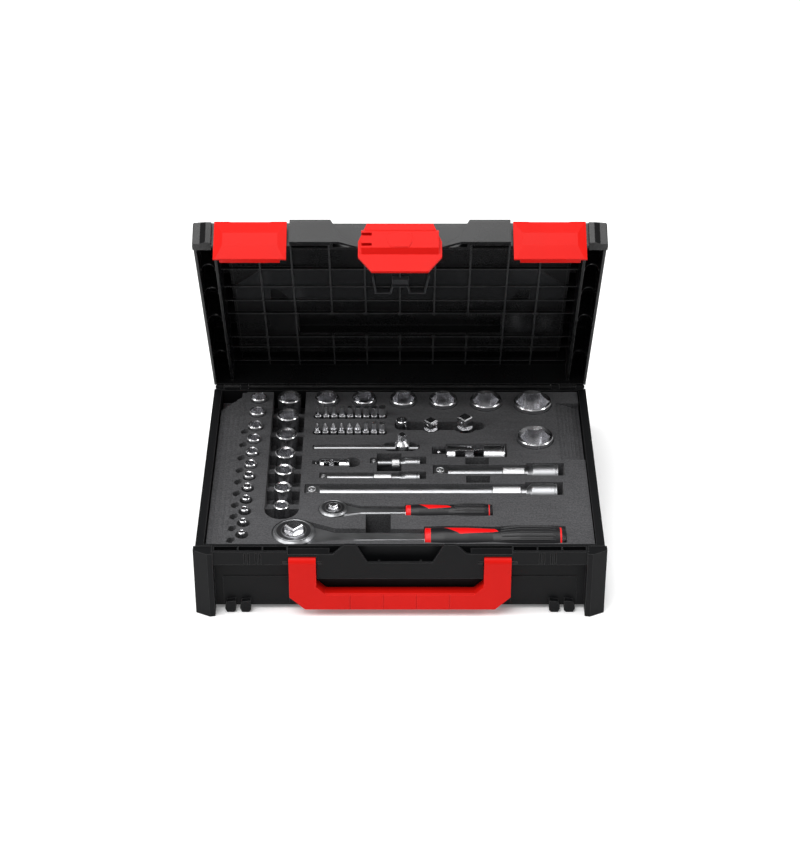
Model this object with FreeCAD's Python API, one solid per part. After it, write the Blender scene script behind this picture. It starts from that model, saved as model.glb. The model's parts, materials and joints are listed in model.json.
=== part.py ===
import FreeCAD, Part
import math
import os

# Socket wrench set in a stackable case. Millimetres, X to the right, Y to the back, Z up.
# The origin is the centre of the underside of the case.

os.makedirs("parts", exist_ok=True)
V = FreeCAD.Vector

# ---------------------------------------------------------------- driving sizes
CASE_W = 396.0        # width over the walls
CASE_D = 296.0        # depth over the front and rear walls
CASE_H = 118.0        # height with the lid closed
RIM_Z = 76.0          # top of the base
FOOT_H = 5.0          # height of the underside of the body above the feet
SKIN = 2.6            # thickness of the moulded skins
WALL_W = 8.0          # overall width of the double side walls
FLOOR_T = 3.0
FRONT_GAP = 13.0      # from the outer face of the front wall to the inner skin
REAR_SETBACK = 8.0    # rear wall stands this far inside the case depth
SEAM = 0.4            # gap between lid and base, and between loose pieces
FIT = 0.08            # radial clearance of a pin in its bore

LID_OPEN = 60.0       # how far the stored lid stands open, degrees
LID_FACE_H = 24.0     # height of the lid's upright front face
LID_BEVEL = 38.0      # depth of the slope above that face
LID_INNER = 26.0      # depth of the lid inside its middle plate
LID_CHANNEL = 15.0    # width of the channel along each side of the lid
HINGE_R = 4.5         # knuckle radius
HINGE_PIN_R = 2.0
HINGE_X = 177.0       # middle of each hinge
HINGE_W = 34.0        # width of each hinge over its ears
HINGE_EAR_W = 8.0
HINGE_ROLL_R = 3.6    # rolled edge of the lid between the hinges, which closes the gap behind the rim

POST_W = 19.0         # corner posts, across the front
HANDLE_X = 93.5       # middle of each handle arm
HANDLE_ARM_W = 26.0
HANDLE_T = 13.0       # thickness, front to back
HANDLE_BAR_H = 20.0
HANDLE_LOW = 8.0      # underside of the grip bar
HANDLE_PIN_R = 3.0
HANDLE_PIN_Z = 63.0
LATCH_IN = 107.2      # inner and outer edges of the latch plates
LATCH_OUT = 176.0
LATCH_LOW = 57.0
LATCH_T = 4.0
LATCH_PIN_R = 1.6
SLIDER_W = 79.0
SLIDER_TRAVEL = 8.0
STEM_X = 15.0         # half width of the slider's stem
STEM_H = 8.0
PLATE_RECESS = 3.6    # the front wall is set back behind the latches

FOAM_TOP = 74.0
FOAM_SPLIT = 26.0     # joint between the milled tray and the sheet under it
FOAM_X = 187.0
FOAM_FRONT = -134.6
FOAM_REAR = 137.0
POCKET = 0.5          # clearance of each milled pocket
SOCKET_PROUD = 5.0    # sockets stand this far above the foam
LIFT = 52.0           # travel that stands in for taking a tool out

HALF_SQ = 12.7        # the two drive sizes
QUARTER_SQ = 6.35
SQ_PLAY = 0.25        # a square socket is this much larger than its square

# across flats, outer diameter, length, and the place of each half-inch socket
COLUMN_X = -116.0
COLUMN = [(17, 24.5, 121.0), (16, 23.0, 87.0), (15, 22.0, 51.5), (14, 20.5, 17.5),
          (13, 19.0, -13.0), (12, 17.5, -43.5), (10, 15.5, -74.0)]
ROW = [(18, 25.1, -76.5, 121.0), (19, 25.5, -37.5, 120.5), (21, 28.1, 3.3, 119.5),
       (22, 29.3, 45.2, 118.0), (24, 33.4, 90.0, 116.5), (30, 39.4, 138.6, 113.5),
       (27, 37.0, 138.3, 47.6)]
HALF_LENGTH = 38.0
HALF_LENGTH_BIG = 42.0   # from 27 mm across flats
HALF_DRIVE_D = 22.0

# across flats and place along Y of each quarter-inch socket
SMALL = [(13, 17.0, 123.0), (12, 16.0, 96.0), (11, 15.0, 70.0), (10, 14.0, 46.0),
         (9, 13.0, 22.0), (8, 12.0, 0.0), (7, 10.8, -20.0), (6, 9.6, -40.0),
         (5.5, 8.8, -60.0), (5, 8.2, -79.0), (4.5, 7.6, -98.5), (4, 7.0, -117.5)]
SMALL_X_REAR = -148.0
SMALL_X_FRONT = -152.5
SMALL_LENGTH = 25.0
SMALL_DRIVE_D = 12.0

BIT_PITCH = 8.3
BIT_X = -85.0
BIT_AF = 6.35
BIT_LENGTH = 25.0
BIT_ROWS = (90.0, 60.0)
BIT_PROUD = 11.5


# ---------------------------------------------------------------- shape helpers
def box(x0, x1, y0, y1, z0, z1):
    return Part.makeBox(x1 - x0, y1 - y0, z1 - z0, V(x0, y0, z0))


def cyl(r, start, axis, length):
    return Part.makeCylinder(r, length, V(*start), V(*axis))


def prism(points, offset):
    """A straight prism: a closed outline of 3-D points, pushed along a vector."""
    wire = Part.makePolygon([V(*p) for p in points] + [V(*points[0])])
    return Part.Face(wire).extrude(V(*offset))


def hexagon(af, x, y, z0, z1):
    """An upright hexagonal prism with two of its corners along X."""
    r = af / math.sqrt(3)
    turn = [math.radians(60 * i) for i in range(6)]
    return prism([(x + r * math.cos(a), y + r * math.sin(a), z0) for a in turn], (0, 0, z1 - z0))


def square(side, x, y, z0, z1, angle=0.0):
    h = side / 2
    shape = box(x - h, x + h, y - h, y + h, z0, z1)
    if angle:
        shape.rotate(V(x, y, 0), V(0, 0, 1), angle)
    return shape


def turned(profile, start, axis):
    """A solid of revolution: (distance along the axis, radius) pairs from one end to the other."""
    points = [V(r, 0, z) for z, r in profile]
    outline = [V(0, 0, profile[0][0])] + points + [V(0, 0, profile[-1][0])]
    face = Part.Face(Part.makePolygon(outline + [outline[0]]))
    solid = face.revolve(V(0, 0, 0), V(0, 0, 1), 360)
    solid.Placement = FreeCAD.Placement(V(*start), FreeCAD.Rotation(V(0, 0, 1), V(*axis)))
    return solid


def join(shapes):
    first = shapes[0]
    return first.fuse(shapes[1:]).removeSplitter() if len(shapes) > 1 else first


def group(shapes):
    return Part.makeCompound(shapes)


def mirrored(shape):
    return shape.mirror(V(0, 0, 0), V(1, 0, 0))


def both_sides(shape):
    return [shape, mirrored(shape)]


def softened(shape, radius, chosen):
    """The shape with the edges that the test chooses rounded."""
    edges = [e for e in shape.Edges if chosen(e)]
    return shape.makeFillet(radius, edges)


def along(edge, direction):
    tangent = edge.tangentAt(edge.FirstParameter)
    return isinstance(edge.Curve, Part.Line) and abs(tangent.dot(V(*direction))) > 0.999


def save(name, shape):
    shape.exportStep(f"parts/{name}.step")


# ---------------------------------------------------------------- places worked out from the sizes
HALF_W = CASE_W / 2 - 2          # outer face of the side walls
IN_X = HALF_W - WALL_W           # inner face of the side walls
FRONT = -CASE_D / 2
BACK = CASE_D / 2 - REAR_SETBACK
PANEL_Y = FRONT + 10             # face of the lower front panel
IN_FRONT = FRONT + FRONT_GAP - 0.2
HINGE_Y = BACK + 4
FLOOR_Z = FOOT_H + FLOOR_T
POST_IN = CASE_W / 2 - POST_W    # inner side of the corner posts
BAND_LOW = RIM_Z - 15.5          # underside of the band that the latches hook under
ARM_IN = HANDLE_X - HANDLE_ARM_W / 2
ARM_OUT = HANDLE_X + HANDLE_ARM_W / 2
APRON_X = ARM_IN - 0.7
BAND_IN = ARM_OUT + 0.7
APRON_LOW = 44.0
LUG_TOP = RIM_Z + 8
DIP_Z = RIM_Z - 13
LEDGE_Z = RIM_Z - 3
HANDLE_PIN_Y = PANEL_Y - 0.5 - HANDLE_T / 2
LID_LOW = RIM_Z + SEAM
FACE_TOP = RIM_Z + LID_FACE_H
FIELD_X = 165.0                  # sunken stacking field in the lid's top
FIELD_FRONT = -95.0
FIELD_BACK = 110.0
NEST_GAP = 8.0                   # the sole is this much smaller than the field, all round
PLATE_Z = RIM_Z + LID_INNER      # underside of the lid's middle plate
LATCH_PIN_Y = FRONT + 0.2
LATCH_EAR_R = 2.9
LATCH_PIN_Z = FACE_TOP - 6
CENTRE_Y = FRONT + 6             # the lid's face behind the slider
SLIDER_Z = (BAND_LOW - 18.5, FACE_TOP - 6)
STEM_LOW = RIM_Z + 5
HINGE_EARS = [HINGE_X - HINGE_W / 2 + HINGE_EAR_W / 2, HINGE_X + HINGE_W / 2 - HINGE_EAR_W / 2]


def opened(shape):
    """Turns a shape drawn for the closed lid to where it stands on the open one."""
    turned_back = shape.copy()
    turned_back.rotate(V(0, HINGE_Y, RIM_Z), V(1, 0, 0), -LID_OPEN)
    return turned_back


# ---------------------------------------------------------------- case: base
def post(z0, z1, inner, outer, sign):
    """A corner post with its outer corner cut away; sign is -1 at the front, where it stands out further."""
    edge = CASE_D / 2 + (3 if sign < 0 else 0)
    depth = (BACK if sign > 0 else -PANEL_Y) - 1
    plan = [(inner, depth), (inner, edge - 1), (inner + 5, edge), (outer, edge - 7), (outer, depth)]
    return prism([(x, sign * y, z0) for x, y in plan], (0, 0, z1 - z0))


def base_tub():
    """The tub with double side walls and a sunken sole that nests in the lid of the case below."""
    tub = box(-HALF_W, HALF_W, PANEL_Y, BACK, FOOT_H, RIM_Z)
    tub = tub.cut(box(-IN_X, IN_X, IN_FRONT, BACK - SKIN, FLOOR_Z, RIM_Z + 1))
    hollows = []
    bays = 5
    reach = (BACK - PANEL_Y - 2 * SKIN) / bays
    for i in range(bays):
        y = PANEL_Y + SKIN + i * reach
        hollows.append(box(IN_X + SKIN, HALF_W - SKIN, y, y + reach - SKIN, FOOT_H - 1, RIM_Z - SKIN))
    tub = tub.cut(group(hollows + [mirrored(h) for h in hollows]))
    nest = FIELD_X - NEST_GAP
    front, back = FIELD_FRONT + NEST_GAP, FIELD_BACK - NEST_GAP
    sole = box(-nest, nest, front, back, 0, FLOOR_Z)
    inside = box(-nest + SKIN, nest - SKIN, front + SKIN, back - SKIN, FLOOR_T, FLOOR_Z + 1)
    return tub.fuse(sole).cut(inside)


def front_band():
    """The double wall along the top of one front side panel: three open pockets and two catches."""
    band = box(BAND_IN, POST_IN + 1, FRONT, PANEL_Y + 0.1, BAND_LOW, RIM_Z)
    width = (POST_IN - BAND_IN - 4 * 1.2) / 3
    for i in range(3):
        x = BAND_IN + 1.2 + i * (width + 1.2)
        band = band.cut(box(x, x + width, FRONT + SKIN, PANEL_Y - 1, BAND_LOW + 6, RIM_Z + 1))
    for x in (135.6, 146.5):
        band = band.cut(box(x - 2.6, x - 1.0, FRONT - 1, FRONT + 1.2, BAND_LOW - 1, RIM_Z - 2))
        band = band.cut(box(x + 1.0, x + 2.6, FRONT - 1, FRONT + 1.2, BAND_LOW - 1, RIM_Z - 2))
    panel = box(BAND_IN, POST_IN - 8, PANEL_Y - 0.8, PANEL_Y + 0.1, FOOT_H + 2, RIM_Z - 36)
    return [band, panel]


def foot_hook(x):
    """One of the stacking hooks under the front panel, a six-sided stub."""
    half = 5.3
    outline = [(-half, 3), (-half + 2, 0.5), (half - 2, 0.5), (half, 5), (half - 2, 13), (-half, 14)]
    return prism([(x + px, PANEL_Y - 6, z) for px, z in outline], (0, 8, 0))


def apron():
    """The plate in front of the finger recess, with its two lugs and the dip between them."""
    right = [(APRON_X, LEDGE_Z), (64, LEDGE_Z), (53, LUG_TOP), (42, LUG_TOP), (31, DIP_Z)]
    left = [(-x, z) for x, z in reversed(right)]
    outline = [(APRON_X, APRON_LOW)] + right + left + [(-APRON_X, APRON_LOW)]
    plate = prism([(x, FRONT, z) for x, z in outline], (0, SKIN, 0))
    under = box(-APRON_X, APRON_X, FRONT, PANEL_Y + 0.1, APRON_LOW, APRON_LOW + SKIN)
    cheek = box(APRON_X - 4, APRON_X, FRONT, PANEL_Y + 0.1, APRON_LOW, LEDGE_Z)
    ledge = box(APRON_X - 12, BAND_IN + 1, FRONT, PANEL_Y + 0.1, LEDGE_Z - SKIN, LEDGE_Z)
    pieces = [plate, under] + both_sides(cheek) + both_sides(ledge)
    for x in (20, 50):
        pieces += both_sides(box(x - 0.8, x + 0.8, FRONT + 1, PANEL_Y + 0.1, APRON_LOW, DIP_Z - 4))
    return pieces


def hinge_ears(low, high, ears):
    """Ears round the hinge line, webbed to a wall between two heights."""
    pieces = []
    for x0, x1 in ears:
        web = [(BACK - 0.1, low), (HINGE_Y + HINGE_R, high), (HINGE_Y + HINGE_R, RIM_Z), (BACK - 0.1, RIM_Z)]
        pieces.append(prism([(x0, y, z) for y, z in web], (x1 - x0, 0, 0)))
        pieces.append(cyl(HINGE_R, (x0, HINGE_Y, RIM_Z), (1, 0, 0), x1 - x0))
    return pieces


def hinge_bores():
    start = HINGE_X - HINGE_W / 2 - 2
    return both_sides(cyl(HINGE_PIN_R + FIT, (start, HINGE_Y, RIM_Z), (1, 0, 0), HINGE_W + 4))


def base_shell():
    half = HINGE_EAR_W / 2
    ears = hinge_ears(RIM_Z - 14, RIM_Z - 4, [(x - half, x + half) for x in HINGE_EARS])
    posts = [post(0, RIM_Z - 1, POST_IN, CASE_W / 2, -1), post(0, RIM_Z - 16, POST_IN, CASE_W / 2, 1)]
    pieces = front_band() + posts + [foot_hook(150), foot_hook(164.5)] + ears
    shell = join([base_tub()] + pieces + [mirrored(p) for p in pieces] + apron())
    gap = HINGE_EARS[1] - HINGE_EARS[0] - HINGE_EAR_W
    knuckle = cyl(HINGE_R + SEAM, (HINGE_X - gap / 2, HINGE_Y, RIM_Z), (1, 0, 0), gap)
    reach = BAND_IN - APRON_X + 10
    pivot = cyl(HANDLE_PIN_R + FIT, (APRON_X - 5, HANDLE_PIN_Y, HANDLE_PIN_Z), (1, 0, 0), reach)
    return shell.cut(group(hinge_bores() + both_sides(knuckle) + both_sides(pivot)))


# ---------------------------------------------------------------- case: carry handle
def carry_handle():
    y = PANEL_Y - 0.5 - HANDLE_T
    cut = 16.0
    bar_top = HANDLE_LOW + HANDLE_BAR_H
    half = [(0, HANDLE_LOW), (ARM_OUT - cut, HANDLE_LOW), (ARM_OUT, HANDLE_LOW + cut),
            (ARM_OUT, HANDLE_PIN_Z), (ARM_IN, HANDLE_PIN_Z), (ARM_IN, bar_top + 8), (ARM_IN - 8, bar_top),
            (0, bar_top)]
    side = prism([(x, y, z) for x, z in half], (0, HANDLE_T, 0))
    eye = cyl(HANDLE_T / 2, (ARM_IN, HANDLE_PIN_Y, HANDLE_PIN_Z), (1, 0, 0), HANDLE_ARM_W)
    arm = join([side, eye])
    handle = join([arm, mirrored(arm)])
    handle = handle.makeChamfer(1.6, [e for e in handle.Edges if along(e, (1, 0, 0)) and e.Length > 60])
    for x in range(-48, 49, 32):
        groove = box(x - 0.6, x + 0.6, y - 1, y + 0.8, HANDLE_LOW - 1, bar_top + 1)
        handle = handle.cut(groove)
    bore = cyl(HANDLE_PIN_R + FIT, (ARM_IN - 1, HANDLE_PIN_Y, HANDLE_PIN_Z), (1, 0, 0), HANDLE_ARM_W + 2)
    return handle.cut(group(both_sides(bore)))


def handle_pins():
    start = APRON_X - 3.6
    pin = cyl(HANDLE_PIN_R, (start, HANDLE_PIN_Y, HANDLE_PIN_Z), (1, 0, 0), BAND_IN + 4 - start)
    return group(both_sides(pin))


def hinge_pins():
    start = HINGE_X - HINGE_W / 2 - 1
    return group(both_sides(cyl(HINGE_PIN_R, (start, HINGE_Y, RIM_Z), (1, 0, 0), HINGE_W + 2)))


# ---------------------------------------------------------------- case: lid, drawn closed
def lid_section(inset):
    """The lid's side outline, drawn in by a wall thickness, from the front wall to the rear wall."""
    low = LID_LOW if inset == 0 else LID_LOW - 1
    top = CASE_H - inset
    front = FRONT + inset
    rise = FACE_TOP - inset * 0.6
    return [(front, low), (front, rise), (front + LID_BEVEL, top), (BACK - inset, top), (BACK - inset, low)]


def lid_body():
    x = HALF_W
    outer = prism([(-x, y, z) for y, z in lid_section(0)], (2 * x, 0, 0))
    inner = prism([(-x + SKIN, y, z) for y, z in lid_section(SKIN)], (2 * (x - SKIN), 0, 0))
    edge = [e for e in outer.Edges if along(e, (0, 1, 0)) and e.BoundBox.ZMax > CASE_H - 1]
    outer = outer.makeChamfer(5.0, edge)
    field = box(-FIELD_X, FIELD_X, FIELD_FRONT, FIELD_BACK, PLATE_Z + SKIN, CASE_H + 1)
    block = box(-FIELD_X - SKIN, FIELD_X + SKIN, FIELD_FRONT - SKIN, FIELD_BACK + SKIN, PLATE_Z, CASE_H)
    return outer.cut(inner.cut(block)).cut(field)


def lid_ribs():
    """The thin ribs inside: a grid on the plate, a channel down each side and its cross walls."""
    low = PLATE_Z - 3.0
    thick = 1.4
    ribs = []
    for x in (0, 34.6, 69, 106, 137.5):
        ribs += both_sides(box(x - thick / 2, x + thick / 2, FRONT + 20, BACK - SKIN - 1, low, PLATE_Z + 0.1))
    channel = HALF_W - SKIN - LID_CHANNEL
    for y in (-62, -28, 0, 26.5, 76, 98, 128):
        y0, y1 = y - thick / 2, y + thick / 2
        ribs.append(box(-channel, channel, y0, y1, low, PLATE_Z + 0.1))
        ribs += both_sides(box(FIELD_X + 1, channel + 1, y0, y1, low, CASE_H - SKIN + 0.1))
    wall = box(channel - SKIN, channel, FRONT + SKIN + 1, BACK - SKIN + 0.1, RIM_Z + 5, CASE_H - SKIN + 0.1)
    corner = [(FRONT, FACE_TOP - 3), (FRONT, CASE_H), (FRONT + LID_BEVEL, CASE_H),
              (FRONT + LID_BEVEL, CASE_H - 2)]
    slope = prism([(channel - SKIN - 1, y, z) for y, z in corner], (SKIN + 2, 0, 0))
    ribs += both_sides(wall.cut(slope))
    for y in (-90, -45, 10, 86):
        arch = box(channel - 1, HALF_W - SKIN + 0.1, y - 1, y + 1, RIM_Z + 6, CASE_H - SKIN + 0.1)
        hollow = cyl(LID_CHANNEL / 2 - 1, (channel + LID_CHANNEL / 2, y - 2, RIM_Z + 6), (0, 1, 0), 4)
        ribs += both_sides(arch.cut(hollow))
    return ribs


def raised_panel():
    """The raised panel on the inner plate, with notched ends, and the shape of the deep slot behind it."""
    half = [(0, -62), (133, -62), (164, -28), (164, 1.8), (130, 1.8), (130, -20), (120, -20), (109, 5), (0, 5)]
    panel = prism([(x, y, PLATE_Z - 1.4) for x, y in half], (0, 0, 1.5))
    return both_sides(panel)


def lid_front():
    """Front posts and the two raised blocks whose lips run down towards the slider."""
    posts = post(LID_LOW, FACE_TOP + 1, POST_IN, CASE_W / 2 - 1, -1)
    corner = [(FRONT - 5, FACE_TOP - 2), (FRONT + 16, FACE_TOP + 8), (FRONT - 5, FACE_TOP + 8)]
    bevel = prism([(POST_IN - 1, y, z) for y, z in corner], (POST_W + 4, 0, 0))
    posts = posts.cut(bevel)
    edge = LATCH_IN - 2.4
    face = [(edge, LID_LOW), (edge, FACE_TOP + 1), (66, FACE_TOP + 1), (56, RIM_Z + 6), (40, RIM_Z - 2),
            (40, RIM_Z - 5), (58, LID_LOW)]
    block = prism([(x, FRONT - 4, z) for x, z in face], (0, 4 - SEAM, 0))
    back = box(66, edge, FRONT - SEAM - 0.1, FRONT + 1, LID_LOW, FACE_TOP)
    return [posts, block, back]


def latch_ears():
    low = LATCH_PIN_Z - LATCH_EAR_R
    ears = []
    for x in (LATCH_IN + 0.6, LATCH_OUT - 4.2):
        ears.append(cyl(LATCH_EAR_R, (x, LATCH_PIN_Y, LATCH_PIN_Z), (1, 0, 0), 3.6))
        ears.append(box(x, x + 3.6, LATCH_PIN_Y, FRONT + PLATE_RECESS + SKIN, low, low + 2 * LATCH_EAR_R))
    return ears


def lid_roll():
    """The rolled lower edge of the lid's rear wall, between the hinges."""
    half = HINGE_EARS[0] - HINGE_EAR_W / 2 - 0.6
    roll = cyl(HINGE_ROLL_R, (-half, HINGE_Y, RIM_Z), (1, 0, 0), 2 * half)
    web = [(BACK - SKIN, LID_LOW), (HINGE_Y, LID_LOW), (HINGE_Y, RIM_Z + HINGE_ROLL_R), (BACK - SKIN, RIM_Z + 9)]
    return [roll, prism([(-half, y, z) for y, z in web], (2 * half, 0, 0))]


def lid_pieces():
    """The lid's outer frame, and the ribbed plate that closes it inside the stacking field."""
    body = lid_body()
    recess = box(LATCH_IN - 2.4, POST_IN - 0.1, FRONT - 1, FRONT + PLATE_RECESS, LID_LOW - 1, CASE_H)
    wall = FRONT + PLATE_RECESS
    backing = box(LATCH_IN - 3, POST_IN + 1, wall, wall + SKIN, LID_LOW, FACE_TOP)
    body = body.cut(group(both_sides(recess)))
    body = body.cut(box(-64, 64, FRONT - 1, CENTRE_Y, LID_LOW - 1, CASE_H))
    brow = [(wall, FACE_TOP - SKIN), (wall, FACE_TOP + 1.2), (FRONT + 9, FACE_TOP + 4.2),
            (FRONT + 9, FACE_TOP - SKIN + 3)]
    slant = prism([(LATCH_IN - 3, y, z) for y, z in brow], (POST_IN - LATCH_IN + 4, 0, 0))
    centre = box(-66, 66, CENTRE_Y, CENTRE_Y + SKIN, LID_LOW, FACE_TOP + 2.8)
    cheeks = box(64, 66, FRONT, CENTRE_Y + SKIN, LID_LOW, FACE_TOP)
    knuckle_low = HINGE_EARS[0] + HINGE_EAR_W / 2 + 0.3
    knuckle_high = HINGE_EARS[1] - HINGE_EAR_W / 2 - 0.3
    wide = knuckle_high - knuckle_low
    web = [(BACK - 0.1, LID_LOW), (HINGE_Y, RIM_Z), (HINGE_Y + HINGE_R, RIM_Z), (HINGE_Y + HINGE_R, RIM_Z + 4),
           (BACK - 0.1, RIM_Z + 15)]
    knuckle = [cyl(HINGE_R, (knuckle_low, HINGE_Y, RIM_Z), (1, 0, 0), wide),
               prism([(knuckle_low, y, z) for y, z in web], (wide, 0, 0))]
    sides = [backing, slant, cheeks] + knuckle + lid_front() + latch_ears()
    slot_x = 104
    deep = box(-slot_x - SKIN, slot_x + SKIN, 26, 75.6, PLATE_Z, PLATE_Z + 12)
    middle = [centre, deep] + lid_roll() + lid_ribs() + raised_panel()
    shell = join([body] + middle + sides + [mirrored(s) for s in sides])
    ear = HINGE_EAR_W / 2
    room = HINGE_EAR_W + 0.6
    cuts = [cyl(HINGE_R + SEAM, (x - ear - 0.3, HINGE_Y, RIM_Z), (1, 0, 0), room) for x in HINGE_EARS]
    latch_w = LATCH_OUT - LATCH_IN
    pins = cyl(LATCH_PIN_R + FIT, (LATCH_IN - 1, LATCH_PIN_Y, LATCH_PIN_Z), (1, 0, 0), latch_w + 2)
    cuts += [pins] + hinge_bores()[:1]
    shell = shell.cut(group(cuts + [mirrored(c) for c in cuts]))
    shell = shell.cut(box(-slot_x, slot_x, 28.6, 73, PLATE_Z - 4, PLATE_Z + 12 - SKIN))
    stem_top = STEM_LOW + STEM_H + SLIDER_TRAVEL
    travel = box(-STEM_X - SEAM, STEM_X + SEAM, FRONT, FRONT + 12, STEM_LOW - SEAM, stem_top + SEAM)
    shell = opened(shell.cut(travel))
    field = opened(box(-FIELD_X, FIELD_X, FIELD_FRONT, FIELD_BACK, LID_LOW, CASE_H + 1))
    return shell.cut(field), shell.common(field)


def latch():
    """A latch plate: a faceted front, a barrel behind its top edge and a hooked lip at the bottom."""
    front = FRONT - 3 - LATCH_T
    back = FRONT - 3
    low, high = LATCH_LOW, FACE_TOP - 1.4
    section = [(back, low), (back - 2.2, low), (front + 0.6, low + 9), (front, low + 14), (front, high - 14),
               (front + 2, high - 2), (back - 1.2, high), (back, high)]
    plate = prism([(LATCH_IN, y, z) for y, z in section], (LATCH_OUT - LATCH_IN, 0, 0))
    for x, sign in ((LATCH_IN, 1), (LATCH_OUT, -1)):
        slope = [(x - sign, front - 1), (x + sign * 12, front - 1), (x, back - 1.6), (x - sign, back - 1.6)]
        plate = plate.cut(prism([(px, y, low - 1) for px, y in slope], (0, 0, high - low + 2)))
    middle = (LATCH_IN + LATCH_OUT) / 2
    dip = [(middle - 22, high + 1), (middle - 16, high - 2), (middle + 16, high - 2), (middle + 22, high + 1)]
    plate = plate.cut(prism([(x, front - 1, z) for x, z in dip], (0, LATCH_T + 0.5, 0)))
    lip = box(LATCH_IN + 6, LATCH_OUT - 6, back - 0.1, FRONT + 1.8, low, BAND_LOW - 0.6)
    barrel = cyl(LATCH_EAR_R, (LATCH_IN + 4.8, LATCH_PIN_Y, LATCH_PIN_Z), (1, 0, 0), LATCH_OUT - LATCH_IN - 9.6)
    neck = box(LATCH_IN + 4.8, LATCH_OUT - 4.8, back - 0.1, LATCH_PIN_Y, LATCH_PIN_Z - 2, LATCH_PIN_Z + 2)
    bore = cyl(LATCH_PIN_R + FIT, (LATCH_IN - 1, LATCH_PIN_Y, LATCH_PIN_Z), (1, 0, 0), LATCH_OUT - LATCH_IN + 2)
    return join([plate, lip, barrel, neck]).cut(bore)


def latch_pins():
    pin = cyl(LATCH_PIN_R, (LATCH_IN + 0.8, LATCH_PIN_Y, LATCH_PIN_Z), (1, 0, 0), LATCH_OUT - LATCH_IN - 1.6)
    return group(both_sides(pin))


def coupling_slider():
    """The centre catch: an eight-sided plate with a raised ridge, on a stem through the lid's front."""
    back = FRONT - 4.8
    low, high = SLIDER_Z
    w = SLIDER_W / 2
    plan = [(-w + 13, low), (w - 13, low), (w, low + 16), (w, high - 20), (w - 8, high), (-w + 8, high),
            (-w, high - 20), (-w, low + 16)]
    plate = prism([(x, back, z) for x, z in plan], (0, -3.2, 0))
    face, foot = (low + 23, high - 11), (low + 18, high - 7)
    section = [(back - 3, foot[0]), (back - 3, foot[1]), (back - 8, face[1]), (back - 8, face[0])]
    crown = prism([(-w + 3, y, z) for y, z in section], (2 * w - 6, 0, 0))
    button = cyl(11.5, (0, back - 7.9, sum(face) / 2), (0, -1, 0), 0.8)
    button = button.common(box(-w, w, back - 9, back - 7, face[0] + 0.4, face[1] - 0.4))
    stem = box(-STEM_X, STEM_X, back - 0.1, CENTRE_Y + SKIN + 0.5, STEM_LOW, STEM_LOW + STEM_H)
    piece = join([plate, crown, button, stem])
    for z in (face[0] + 3.4, face[1] - 3.4):
        piece = piece.cut(box(-w + 2, -w + 13, back - 9, back - 4, z - 1.6, z + 1.6))
    return piece


def slider_retainer():
    """The clip behind the lid's front wall that keeps the slider on its stem."""
    y = CENTRE_Y + SKIN + 0.5
    clip = box(-STEM_X - 6, STEM_X + 6, y, y + 2.4, STEM_LOW - 4, STEM_LOW + STEM_H + 3)
    fork = box(-STEM_X - 6, -STEM_X - 2, y, y + 6, STEM_LOW - 4, STEM_LOW + STEM_H + 3)
    return join([clip] + both_sides(fork))


# ---------------------------------------------------------------- tools
def detent(x, y, z, direction, side):
    """The spring ball of a drive square, standing just proud of one face."""
    r = side * 0.16
    return Part.makeSphere(r, V(x, y, z) - V(*direction) * (r * 0.55))


def socket_piece(af, outer, length, drive, drive_d, x, y, top):
    """A hexagon socket standing with its hexagon up and its drive end down."""
    low = top - length
    mouth = min(length * 0.46, af * 0.9 + 4)
    waist = min(outer, drive_d) - 1.2 if outer > drive_d + 2 else min(outer, drive_d)
    shape = [(0, drive_d / 2 - 0.8), (0.8, drive_d / 2), (length * 0.42, drive_d / 2)]
    if outer > drive_d + 2:
        shape += [(length * 0.52, outer / 2), (length - 1, outer / 2)]
    elif outer < drive_d - 2:
        shape += [(length * 0.46, drive_d / 2 - 0.6), (length * 0.52, outer / 2), (length - 0.8, outer / 2)]
    else:
        shape += [(length * 0.42 + 0.5, waist / 2 - 0.5), (length * 0.48, waist / 2 - 0.5),
                  (length * 0.5, outer / 2), (length - 1, outer / 2)]
    shape += [(length, outer / 2 - 0.8)]
    body = turned(shape, (x, y, low), (0, 0, 1))
    lip = outer / 2 - 1.0
    deep = (lip - af / 2) * 0.6
    flare = turned([(0, af / 2), (deep, lip), (deep + 1, lip)], (x, y, top - deep), (0, 0, 1))
    inside = hexagon(af, x, y, top - mouth, top + 1)
    drive_hole = square(drive + SQ_PLAY, x, y, low - 1, low + drive * 0.95)
    bore = cyl(min(drive, af) * 0.33, (x, y, low), (0, 0, 1), length - 1)
    return body.cut(group([flare, inside, drive_hole, bore]))


def half_inch_sockets():
    """Name, size and place of every half-inch socket: (name, af, outer, length, x, y)."""
    sockets = [(f"socket_{af}", af, d, HALF_LENGTH, COLUMN_X, y) for af, d, y in COLUMN]
    for af, d, x, y in ROW:
        sockets.append((f"socket_{af}", af, d, HALF_LENGTH_BIG if af >= 27 else HALF_LENGTH, x, y))
    return sockets


def small_x(y):
    rear, front = SMALL[0][2], SMALL[-1][2]
    return SMALL_X_REAR + (SMALL_X_FRONT - SMALL_X_REAR) * (rear - y) / (rear - front)


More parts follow.
